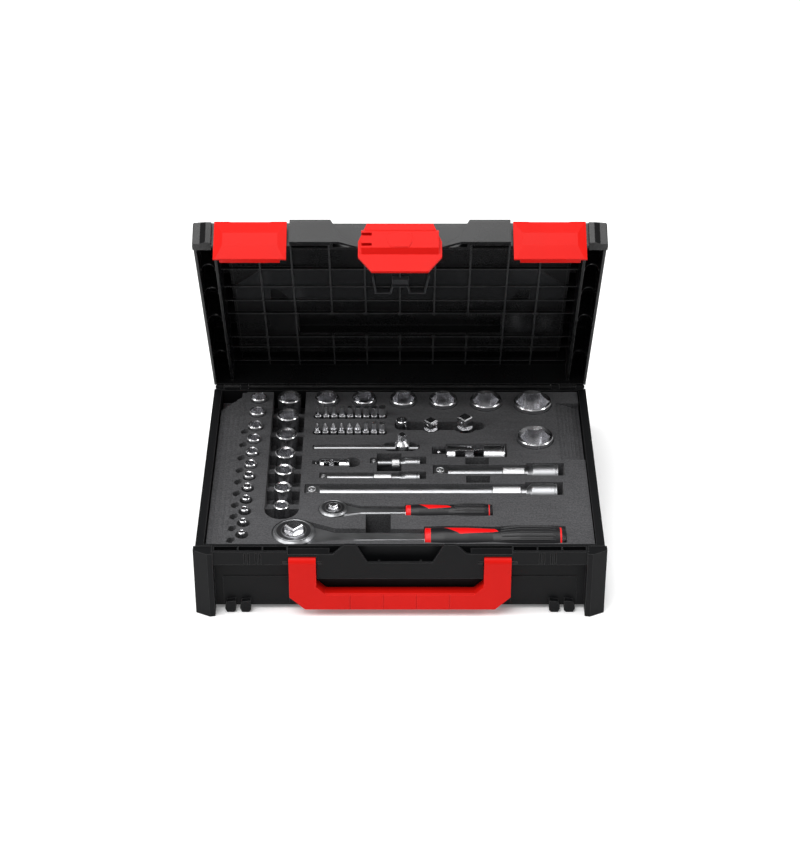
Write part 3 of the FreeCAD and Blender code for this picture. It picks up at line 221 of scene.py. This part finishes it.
def moulded(name, colour, roughness, grain_depth, grain_size=0.0009, rounded=0.0006, dust=0.12,
            gloss=0.11, edge_highlight=0.05, gloss_and_painted_light=None):
    f = Finish(name)
    grain = f.noise(1 / grain_size, detail=3.0, roughness=0.6)
    cloud = f.noise(14.0, detail=4.0)
    scuffs_and_highlight_breakup = f.stretched(90.0, (1.0, 6.0, 3.0), detail=5.0)
    worn = (scuffs_and_highlight_breakup - 0.62).clamped() * 1.6
    lighter = tuple(min(1.0, c * 1.5 + 0.006) for c in colour)
    # The paler colour of the painted highlight along edges
    edge_highlight_colour = tuple(min(1.0, c * 1.8 + edge_highlight) for c in colour)
    skin = f.mix((cloud * 0.5 + worn * dust * 4 - 0.08).clamped(), colour, lighter)
    rough = roughness + (cloud - 0.5) * 0.16 + (grain - 0.5) * 0.1
    # Inside the lid the raised panel is painted paler as a painted reflection and made smoother;
    # the rib tips get a painted highlight
    if gloss_and_painted_light:
        panel_sheen_and_gloss, rib = gloss_and_painted_light(f)
        skin = f.mix(panel_sheen_and_gloss, skin, PANEL_REFLECTION_COLOUR)
        skin = f.mix(rib * (0.4 + scuffs_and_highlight_breakup * 0.6), skin, RIB_TIP_HIGHLIGHT_COLOUR)
        rough = rough - panel_sheen_and_gloss * 0.1
    # Sharp edges are painted paler as a painted highlight, broken up by the scuff noise
    edge_highlight_mask = (f.edges(EDGE_HIGHLIGHT_RADIUS) * (0.5 + scuffs_and_highlight_breakup)).clamped()
    f.set(Base_Color=f.mix(edge_highlight_mask, skin, edge_highlight_colour), Roughness=rough.clamped(), Specular_IOR_Level=gloss)
    f.bump(grain, grain_depth, strength=0.75, rounded=rounded)
    return f.material


def lid_faces(f):
    """Masks over the open lid: its raised panel, which gets a painted reflection and is made
    smoother, and the tips of its ribs, which get a painted highlight.
    """
    turn = Matrix.Rotation(LID_OPEN, 3, "X")
    hinge = HINGE * MM
    closed = f.node("ShaderNodeMapping", Vector=f.place, Rotation=(LID_OPEN, 0, 0),
                    Location=tuple(hinge - turn @ hinge))
    height = f.node("ShaderNodeSeparateXYZ", out="Z", Vector=closed)
    panel_face = (height - PANEL_HEIGHT).near(FACE_TOLERANCE)
    rib_tips = (height - RIB_TIP_HEIGHT).near(FACE_TOLERANCE)
    return panel_face, rib_tips


case_black = moulded("case black plastic", (0.0036, 0.0038, 0.0043), 0.5, 0.00014)
lid_black = moulded("lid black plastic", (0.0035, 0.0037, 0.0040), 0.28, 0.00003, gloss=0.22,
                    gloss_and_painted_light=lid_faces)
case_red = moulded("red plastic", (0.50, 0.0045, 0.0020), 0.42, 0.00003, grain_size=0.0006,
                   rounded=0.0008, dust=0.02, gloss=0.09, edge_highlight=0.02)
inlay_red = moulded("red grip plastic", (0.60, 0.004, 0.005), 0.36, 0.00002, grain_size=0.0006,
                    rounded=0.0003, dust=0.02, gloss=0.25, edge_highlight=0.02)
clip_grey = moulded("grey clip plastic", (0.03, 0.031, 0.033), 0.42, 0.00006)
grip_black = moulded("soft black grip", (0.006, 0.006, 0.007), 0.4, 0.00006, grain_size=0.0005,
                     rounded=0.0005, gloss=0.3)
plastics = (case_black, lid_black, case_red, inlay_red, clip_grey, grip_black)
print("plastics:", [m.name for m in plastics])

# %% [markdown]
# ## Foam
# The insert is closed-cell foam, cut on a router. Its skin shows tiny cells, so a Voronoi pattern
# at two thirds of a millimetre is mixed with noise for the bump, and the grey varies slightly
# from patch to patch.

# %% Foam finish


def cut_foam():
    f = Finish("grey closed-cell foam")
    cells = f.node("ShaderNodeTexVoronoi", out="Distance", Vector=f.place, Scale=1500.0)
    fluff = f.noise(2600.0, detail=3.0)
    patch = f.noise(22.0, detail=3.0)
    fleck = (f.noise(620.0, detail=3.0, roughness=0.7) - 0.5) * 3.4
    streak = (f.stretched(60.0, (1.0, 9.0, 1.0), detail=3.0) - 0.5) * 0.8
    grey = (patch * 0.5 + fleck + streak + 0.2).clamped()
    f.set(Base_Color=f.mix(grey, (0.022, 0.022, 0.024), (0.062, 0.062, 0.066)), Roughness=0.88,
          Specular_IOR_Level=0.3, Sheen_Weight=0.12, Sheen_Roughness=0.6)
    f.bump(cells * 0.6 + fluff * 0.5, 0.00022, strength=0.85, rounded=0.0005)
    return f.material


foam_grey = cut_foam()

# %% [markdown]
# ## Steel and chrome
# Ratchets, bars and sockets are chromed. Forged bodies are satin, turned ends are brighter, and
# small differences in roughness (finger marks, polishing lines) keep the reflections from looking
# computed.

# %% Metal finishes
BRUSH_SCALE = 700.0
BRUSH_DEPTH = 0.00001
STEEL_EDGE = 0.0003


def metal(name, colour, roughness, brush=(1.0, 1.0, 1.0), brushed=0.08, smudge=0.08, blasted=0.0):
    f = Finish(name)
    lines = f.stretched(BRUSH_SCALE, brush, detail=3.0)
    grit = f.noise(1300.0, detail=2.0)
    marks = f.noise(60.0, detail=4.0)
    darker = tuple(c * 0.82 for c in colour)
    rough = roughness + (lines - 0.5) * brushed * 2 + (marks - 0.5) * smudge * 2
    f.set(Base_Color=f.mix((marks * 1.2 - 0.1).clamped(), darker, colour), Metallic=1.0,
          Roughness=rough.clamped())
    f.bump(lines * (1 - blasted) + grit * blasted, BRUSH_DEPTH * (1 + blasted * 4), strength=0.6,
           rounded=STEEL_EDGE)
    return f.material


chrome = metal("socket chrome", (0.80, 0.80, 0.82), 0.24, brush=(1.0, 1.0, 0.12), brushed=0.05)
satin = metal("satin chrome", (0.36, 0.365, 0.375), 0.38, brush=(0.08, 1.0, 1.0), blasted=0.8)
bright_band = metal("bright knurling", (0.95, 0.95, 0.96), 0.42, brushed=0.05)
bit_steel = metal("bit steel", (0.80, 0.80, 0.82), 0.3, brush=(1.0, 1.0, 0.15), smudge=0.12)
dark_steel = metal("blackened steel", (0.20, 0.20, 0.21), 0.34)
print("metals ready")

# %% Give every CAD piece its finish
FINISHES = {
    "case_plastic": case_black, "lid_plastic": lid_black, "red_plastic": case_red,
    "red_grip": inlay_red, "black_grip": grip_black, "foam": foam_grey, "pin_steel": satin,
    "bit_steel": bit_steel, "chrome_steel": chrome,
}
SPECIAL = {
    "slider_retainer": clip_grey, "large_ratchet_body": satin, "small_ratchet_body": satin,
    "large_ratchet_cover": dark_steel, "small_ratchet_cover": dark_steel, "tee_bar_rod": satin,
    "extension_bar_250": satin, "extension_bar_125": satin, "extension_bar_100": satin,
    "extension_bar_50": satin, "handle_pins": case_black, "hinge_pins": case_black,
    "latch_pins": case_black,
}
slot_of = {part["node"]: part["material_slot"] for part in frame["record"]["subparts"]}
for name, piece in nodes.items():
    finish = SPECIAL.get(name, FINISHES[slot_of[name]])
    for material_slot in piece.material_slots:
        material_slot.material = finish
print("finished", len(nodes), "pieces")

# %% [markdown]
# ## Relief made by rule
# Knurling, grip ridges, rib bosses and cover rings repeat by rule, so Geometry Nodes make them. A
# point cloud or curve says where, one small instance says what, and the result is realised into a
# plain mesh before it rides on its body. The first helper builds such a tree from a short
# description.

# %% Geometry Nodes helpers


class Tree:
    """A Geometry Nodes tree with named inputs; node() adds a node and links or sets its sockets."""

    def __init__(self, name, inputs):
        self.group = bpy.data.node_groups.new(name, "GeometryNodeTree")
        self.keys = {}
        sockets = self.group.interface
        sockets.new_socket(name="Geometry", in_out="OUTPUT", socket_type="NodeSocketGeometry")
        sockets.new_socket(name="Places", in_out="INPUT", socket_type="NodeSocketGeometry")
        for label, value in inputs.items():
            kind = "NodeSocketInt" if isinstance(value, int) else "NodeSocketFloat"
            kind = "NodeSocketVector" if isinstance(value, (tuple, Vector)) else kind
            kind = "NodeSocketMaterial" if isinstance(value, bpy.types.Material) else kind
            socket = sockets.new_socket(name=label, in_out="INPUT", socket_type=kind)
            self.keys[label] = socket.identifier
        self.values = inputs
        self.inputs = self.group.nodes.new("NodeGroupInput")

    def given(self, label):
        return self.inputs.outputs[label]

    def node(self, kind, settings=None, sockets=None, out=0):
        node = self.group.nodes.new(kind)
        for key, value in (settings or {}).items():
            setattr(node, key, value)
        for key, value in (sockets or {}).items():
            if isinstance(value, bpy.types.NodeSocket):
                self.group.links.new(value, node.inputs[key])
            else:
                node.inputs[key].default_value = value
        return node.outputs[out]

    def math(self, operation, a, b=0.0):
        return self.node("ShaderNodeMath", {"operation": operation}, {0: a, 1: b})

    def mesh(self, name, geometry, places=(), edges=()):
        """Ends the tree, runs it on a mesh of places and returns the plain result."""
        real = self.node("GeometryNodeRealizeInstances", sockets={"Geometry": geometry})
        painted = self.node("GeometryNodeSetMaterial", sockets={
            "Geometry": real, "Material": self.given("Finish")})
        output = self.group.nodes.new("NodeGroupOutput")
        self.group.links.new(painted, output.inputs[0])
        seed = bpy.data.meshes.new(name + " seed")
        seed.from_pydata([tuple(p) for p in places], list(edges), [])
        holder = bpy.data.objects.new(name, seed)
        bpy.context.collection.objects.link(holder)
        modifier = holder.modifiers.new("rule", "NODES")
        modifier.node_group = self.group
        for label, value in self.values.items():
            modifier[self.keys[label]] = value
        bpy.context.view_layer.update()
        ready = holder.evaluated_get(bpy.context.evaluated_depsgraph_get())
        mesh = bpy.data.meshes.new_from_object(ready)
        holder.modifiers.clear()
        holder.data = mesh
        return holder


def wear(piece, body):
    """A finished piece rides on its body."""
    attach(piece, body)
    print(piece.name, "rides on", body, "with", len(piece.data.polygons), "faces")
    return piece


def opened(points):
    """Turns points in millimetres on the closed lid to metres on the open one."""
    turn = Matrix.Rotation(-LID_OPEN, 3, "X")
    return [(turn @ (Vector(p) - HINGE) + HINGE) * MM for p in points]


# %% [markdown]
# ## Knurled bands on the bars
# Each extension bar has a knurled band to turn it by hand. A real knurl is two families of
# helical grooves that leave small pyramids. Here a grid is rolled into a tube, and each vertex is
# lifted by the product of two triangle waves, one for each family, which gives the same diamonds
# with few faces.

# %% Knurling
KNURL_PITCH = 1.15
KNURL_DEPTH = 0.28
KNURL_SINK = 0.0009                            # how far the ends of a band draw in, in metres
# Each bar lies along X: left end, Y, Z, length, the two ends of its band measured back from the
# socket end, the band's radius and the side of the drive square, all in millimetres
BARS = {
    "extension_bar_250": (-94.2, -40.0, 67.0, 250.0, 64.0, 36.0, 7.63, 12.7),
    "extension_bar_125": (33.6, -6.5, 67.0, 125.0, 55.6, 33.6, 7.63, 12.7),
    "extension_bar_100": (-80.2, -17.0, 70.0, 100.0, 46.0, 28.4, 4.63, 6.35),
    "extension_bar_50": (-29.8, 9.5, 70.0, 50.0, 28.8, 20.6, 4.63, 6.35),
}


def knurled_tube(name, start, length, radius, finish):
    """A diamond-knurled tube along X, drawn in at both ends so that it closes on the bar."""
    around = int(round(2 * math.pi * radius / KNURL_PITCH)) * 4
    rows = max(8, int(round(length / KNURL_PITCH)) * 4)
    tree = Tree(name + " rule", {
        "Radius": radius * MM, "Length": length * MM, "Depth": KNURL_DEPTH * MM,
        "Around": around + 1, "Along": rows + 1, "Start": Vector(start) * MM, "Finish": finish})
    grid = tree.node("GeometryNodeMeshGrid", sockets={
        "Size X": 1.0, "Size Y": 1.0, "Vertices X": tree.given("Along"),
        "Vertices Y": tree.given("Around")})
    place = tree.node("GeometryNodeInputPosition")
    split = tree.group.nodes.new("ShaderNodeSeparateXYZ")
    tree.group.links.new(place, split.inputs[0])
    u = tree.math("ADD", split.outputs[0], 0.5)
    v = tree.math("ADD", split.outputs[1], 0.5)
    across = tree.math("MULTIPLY", v, around / 4)
    down = tree.math("MULTIPLY", u, rows / 4)
    waves = [tree.math("PINGPONG", tree.math("ADD", tree.math(sign, across, down), 100.0), 0.5)
             for sign in ("ADD", "SUBTRACT")]
    lift = tree.math("MULTIPLY", tree.math("MULTIPLY", waves[0], waves[1]), 4.0)
    inward = tree.math("MULTIPLY", tree.math("PINGPONG", u, 0.5), float(rows) / 2)
    ends = tree.math("MINIMUM", inward, 1.0)
    low = tree.math("SUBTRACT", tree.given("Radius"), tree.given("Depth"))
    rise = tree.math("MULTIPLY", tree.math("MULTIPLY", lift, tree.given("Depth")), ends)
    fall = tree.math("MULTIPLY", tree.math("SUBTRACT", 1.0, ends), KNURL_SINK)
    r = tree.math("SUBTRACT", tree.math("ADD", low, rise), fall)
    angle = tree.math("MULTIPLY", v, 2 * math.pi)
    new = tree.node("ShaderNodeCombineXYZ", sockets={
        0: tree.math("MULTIPLY", u, tree.given("Length")),
        1: tree.math("MULTIPLY", r, tree.math("COSINE", angle)),
        2: tree.math("MULTIPLY", r, tree.math("SINE", angle))})
    moved = tree.node("ShaderNodeVectorMath", {"operation": "ADD"},
                      {0: new, 1: tree.given("Start")})
    rolled = tree.node("GeometryNodeSetPosition", sockets={"Geometry": grid, "Position": moved})
    closed = tree.node("GeometryNodeMergeByDistance", sockets={
        "Geometry": rolled, "Distance": 0.00001})
    return tree.mesh(name, closed)


for name, (x, y, z, length, far, near, radius, square) in BARS.items():
    start = (x + length - far, y, z)
    band = knurled_tube(name + "_knurl", start, far - near, radius, bright_band)
    wear(band, name)

# %% [markdown]
# ## Rings: rib bosses, ball seats and cover grooves
# Where the thin ribs of the lid cross there is a small round boss, left by an ejector pin, and
# each drive square has a bright ring round its spring ball. Both are the same shape at other
# sizes, so one tree puts a ring on every point of a cloud of places, turned to lie on its
# surface.

# %% Ring tree
LID_TURN = (-LID_OPEN, 0.0, 0.0)
UPRIGHT = (0.0, 0.0, 0.0)
ROUND_SIDES = 8


def rings(name, places, radius, thick, finish, turn=UPRIGHT, segments=20, flat=1.0):
    """Rings of a radius and thickness in millimetres, one on each place in metres."""
    tree = Tree(name + " rule", {
        "Radius": radius * MM, "Thickness": thick * MM, "Turn": Vector(turn),
        "Segments": segments, "Finish": finish})
    loop = tree.node("GeometryNodeCurvePrimitiveCircle", sockets={
        "Resolution": tree.given("Segments"), "Radius": tree.given("Radius")})
    section = tree.node("GeometryNodeCurvePrimitiveCircle", sockets={
        "Resolution": ROUND_SIDES, "Radius": tree.given("Thickness")})
    ring = tree.node("GeometryNodeCurveToMesh", sockets={"Curve": loop, "Profile Curve": section})
    pressed = tree.node("GeometryNodeTransform", sockets={
        "Geometry": ring, "Scale": Vector((1, 1, flat))})
    put = tree.node("GeometryNodeInstanceOnPoints", sockets={
        "Points": tree.given("Places"), "Instance": pressed, "Rotation": tree.given("Turn")})
    return tree.mesh(name, put, places)


RIB_X = (-137.5, -106, -69, -34.6, 0, 34.6, 69, 106, 137.5)
RIB_Y = (26.5, 76, 98)
PLATE_FACE = 99.0
crossings = opened([(x, y, PLATE_FACE) for x in RIB_X for y in RIB_Y])
bosses = rings("lid_rib_bosses", crossings, 2.3, 0.55, lid_black, LID_TURN, segments=14)
wear(bosses, "lid")

for name, (x, y, z, length, far, near, radius, side) in BARS.items():
    seat = [Vector((x + side * 0.53, y, z + side / 2 + 0.02)) * MM]
    ball_ring = rings(name + "_ball_seat", seat, side * 0.3, side * 0.035, bright_band)
    wear(ball_ring, name)

# Centre, diameter and thickness of each ratchet's head
HEADS = {"large_ratchet": (-102.5, -112.5, 66.0, 42.0, 19.0),
         "small_ratchet": (-65.3, -75.0, 69.5, 28.0, 13.0)}
for name, (x, y, z, head_d, head_t) in HEADS.items():
    cover = [Vector((x, y, z + head_t / 2 + 0.2)) * MM]
    for label, part_of, ring in (("rim", 0.41, 0.016), ("lip", 0.285, 0.012)):
        band = rings(f"{name}_cover_{label}", cover, head_d * part_of, head_d * ring, satin,
                     segments=64, flat=0.6)
        wear(band, name)

# %% [markdown]
# ## Grip flutes
# The rear half of each ratchet grip has ridges along it, so that an oily hand doesn't slip. One
# line follows the swelling outline of the grip. It is turned round the axis in equal steps and
# given a round section, which leaves ridges that swell and fade with the grip.

# %% Flutes
# Start and end along X, Y, Z, and the radii of the grip's waist and of its swell
GRIPS = {"large_ratchet": (29.6, 160.0, -117.0, 66.0, 11.8, 14.6),
         "small_ratchet": (10.5, 90.3, -76.5, 69.5, 8.2, 10.2)}
FLUTES = 22
FLUTE_THICKNESS = 0.055                        # of the swell's radius


def grip_line(start, end, waist, swell):
    """Points along the grip's outline over its fluted half: (distance, radius) in millimetres."""
    long = end - start
    outline = [(0.52, waist + (swell - waist) * 0.3 - 0.55),
               (0.56, waist + (swell - waist) * 0.5 - 0.1),
               (0.66, swell - 0.1), (0.78, swell - 0.3), (0.88, swell - 0.5), (0.92, swell - 1.2)]
    return [(start + long * at, radius) for at, radius in outline]


def flutes(name, start, end, y, z, waist, swell):
    tree = Tree(name + " rule", {"Count": FLUTES, "Thickness": swell * FLUTE_THICKNESS * MM,
                                 "Axis": Vector((0, y, z)) * MM, "Finish": grip_black})
    spots = tree.node("GeometryNodePoints", sockets={"Count": tree.given("Count")})
    turn = tree.math("MULTIPLY", tree.node("GeometryNodeInputIndex"), 2 * math.pi / FLUTES)
    euler = tree.node("ShaderNodeCombineXYZ", sockets={0: turn})
    line = tree.node("GeometryNodeMeshToCurve", sockets={"Mesh": tree.given("Places")})
    around = tree.node("GeometryNodeInstanceOnPoints", sockets={
        "Points": spots, "Instance": line, "Rotation": euler})
    real = tree.node("GeometryNodeRealizeInstances", sockets={"Geometry": around})
    section = tree.node("GeometryNodeCurvePrimitiveCircle", sockets={
        "Resolution": ROUND_SIDES, "Radius": tree.given("Thickness")})
    ridges = tree.node("GeometryNodeCurveToMesh", sockets={
        "Curve": real, "Profile Curve": section, "Fill Caps": True})
    moved = tree.node("GeometryNodeTransform", sockets={
        "Geometry": ridges, "Translation": tree.given("Axis")})
    line_mm = grip_line(start, end, waist, swell)
    places = [Vector((x, 0, radius)) * MM for x, radius in line_mm]
    return tree.mesh(name, moved, places, [(i, i + 1) for i in range(len(places) - 1)])


for name, outline in GRIPS.items():
    wear(flutes(name + "_flutes", *outline), name)

# %% [markdown]
# ## The keeper under the catch
# Behind the red catch a low wall bends round its spring: down, in, up and over a tab, and out
# again. It is one thin strip of the moulding, so it is made as a strip: a line of corners,
# widened on both sides by half a wall and raised off the lid's panel, then turned with the lid.

# %% Keeper wall
KEEPER = [(-27, -52), (-24.3, -20), (-9.3, -20), (-7.3, -32.7), (7.6, -32.7), (9.6, -20),
          (24.7, -20), (28.8, -54)]
PANEL_FACE = 100.7
KEEPER_TOP = 96.0
WALL = 1.5
TAB_DRAFT = 0.8


def offset_line(points, distance):
    """The line moved sideways by a distance, with its corners mitred."""
    out = []
    for i, point in enumerate(points):
        before = Vector(points[max(i - 1, 0)])
        after = Vector(points[min(i + 1, len(points) - 1)])
        here = Vector(point)
        a = (here - before).normalized() if i else (after - here).normalized()
        b = (after - here).normalized() if i < len(points) - 1 else a
        side = Vector((-(a + b).y, (a + b).x)).normalized()
        across = Vector((-a.y, a.x))
        out.append(here + side * distance / max(0.35, side.dot(across)))
    return out


def closed_mesh(name, vertices, faces, finish):
    mesh = bpy.data.meshes.new(name)
    mesh.from_pydata([tuple(v) for v in vertices], [], faces)
    work = bmesh.new()
    work.from_mesh(mesh)
    bmesh.ops.recalc_face_normals(work, faces=work.faces)
    work.to_mesh(mesh)
    work.free()
    mesh.materials.append(finish)
    piece = bpy.data.objects.new(name, mesh)
    bpy.context.collection.objects.link(piece)
    return piece


def strip_wall(name, line, low, high, finish):
    """A thin wall along a line on the closed lid, between two heights in millimetres."""
    left, right = offset_line(line, WALL / 2), offset_line(line, -WALL / 2)
    n = len(line)
    vertices = [(p.x, p.y, z) for z in (low, high) for side in (left, right) for p in side]
    faces = []
    for i in range(n - 1):
        l0, r0, l1, r1 = i, n + i, 2 * n + i, 3 * n + i
        faces += [(l0, l0 + 1, r0 + 1, r0), (l1, r1, r1 + 1, l1 + 1), (l0, l1, l1 + 1, l0 + 1),
                  (r0, r0 + 1, r1 + 1, r1)]
    faces += [(0, n, 3 * n, 2 * n), (n - 1, 3 * n - 1, 4 * n - 1, 2 * n - 1)]
    return closed_mesh(name, opened(vertices), faces, finish)


def wedge(name, x0, x1, y0, y1, low, high, finish):
    """A small moulded block on the closed lid whose top is drawn in by the draft."""
    draft = TAB_DRAFT
    base = [(x0, y0, low), (x1, y0, low), (x1, y1, low), (x0, y1, low)]
    top = [(x0 + draft, y0 + draft, high), (x1 - draft, y0 + draft, high),
           (x1 - draft, y1 - draft, high), (x0 + draft, y1 - draft, high)]
    faces = [(0, 1, 2, 3), (7, 6, 5, 4), (0, 4, 5, 1), (1, 5, 6, 2), (2, 6, 7, 3), (3, 7, 4, 0)]
    return closed_mesh(name, opened(base + top), faces, finish)


wall = strip_wall("keeper_wall", KEEPER, PANEL_FACE, KEEPER_TOP, clip_grey)
wear(wall, "lid")
tab = wedge("keeper_tab", -8.2, 9.0, -46, -36, PANEL_FACE, KEEPER_TOP + 0.6, clip_grey)
wear(tab, "lid")

# %% [markdown]
# ## Floor and light
# A plain white floor and soft, even studio light. A large panel overhead and one on each side
# give the chrome broad pale reflections, and the dark gaps between them draw its edges. The floor
# is nearly the same tone as the background, so only a faint contact shadow shows round the feet.

# %% Floor and lights
FLOOR_HALF = 30.0
PANEL_SPREAD = math.radians(150)


def plain_floor():
    mesh = bpy.data.meshes.new("floor")
    half = FLOOR_HALF
    corners = [(-half, -half, 0), (half, -half, 0), (half, half, 0), (-half, half, 0)]
    mesh.from_pydata(corners, [], [(0, 1, 2, 3)])
    floor = bpy.data.objects.new("floor", mesh)
    bpy.context.collection.objects.link(floor)
    finish = Finish("white studio floor")
    finish.set(Base_Color=(0.93, 0.93, 0.93), Roughness=0.9, Specular_IOR_Level=0.1,
               Emission_Color=(1, 1, 1), Emission_Strength=0.14)
    mesh.materials.append(finish.material)
    return floor


def panel(name, place, aim, size, power):
    light = bpy.data.objects.new(name, bpy.data.lights.new(name, "AREA"))
    light.data.shape = "RECTANGLE"
    light.data.size, light.data.size_y = size
    light.data.energy = power
    light.data.spread = PANEL_SPREAD
    light.location = place
    light.rotation_euler = (Vector(aim) - Vector(place)).to_track_quat("-Z", "Y").to_euler()
    bpy.context.collection.objects.link(light)
    return light


def even_world(strength):
    world = bpy.data.worlds.new("studio")
    world.use_nodes = True
    background = world.node_tree.nodes["Background"]
    background.inputs["Color"].default_value = (1, 1, 1, 1)
    background.inputs["Strength"].default_value = strength
    bpy.context.scene.world = world


def broad_light(strength, angle, tilt):
    """A very soft key light, even over the whole floor."""
    light = bpy.data.objects.new("key", bpy.data.lights.new("key", "SUN"))
    light.data.energy = strength
    light.data.angle = math.radians(angle)
    light.rotation_euler = [math.radians(t) for t in tilt]
    bpy.context.collection.objects.link(light)
    return light


plain_floor()
even_world(0.33)
broad_light(2.1, 36, (20, -14, 0))
panel("overhead", (0, 0.1, 1.5), (0, 0, 0.05), (1.2, 0.35), 7)
panel("left", (-1.3, -0.4, 0.9), (0, 0, 0.1), (0.3, 1.0), 5)
panel("right", (1.4, -0.3, 0.9), (0, 0, 0.1), (0.3, 1.0), 5)
bpy.context.scene.view_settings.view_transform = "Standard"
print("stage ready")
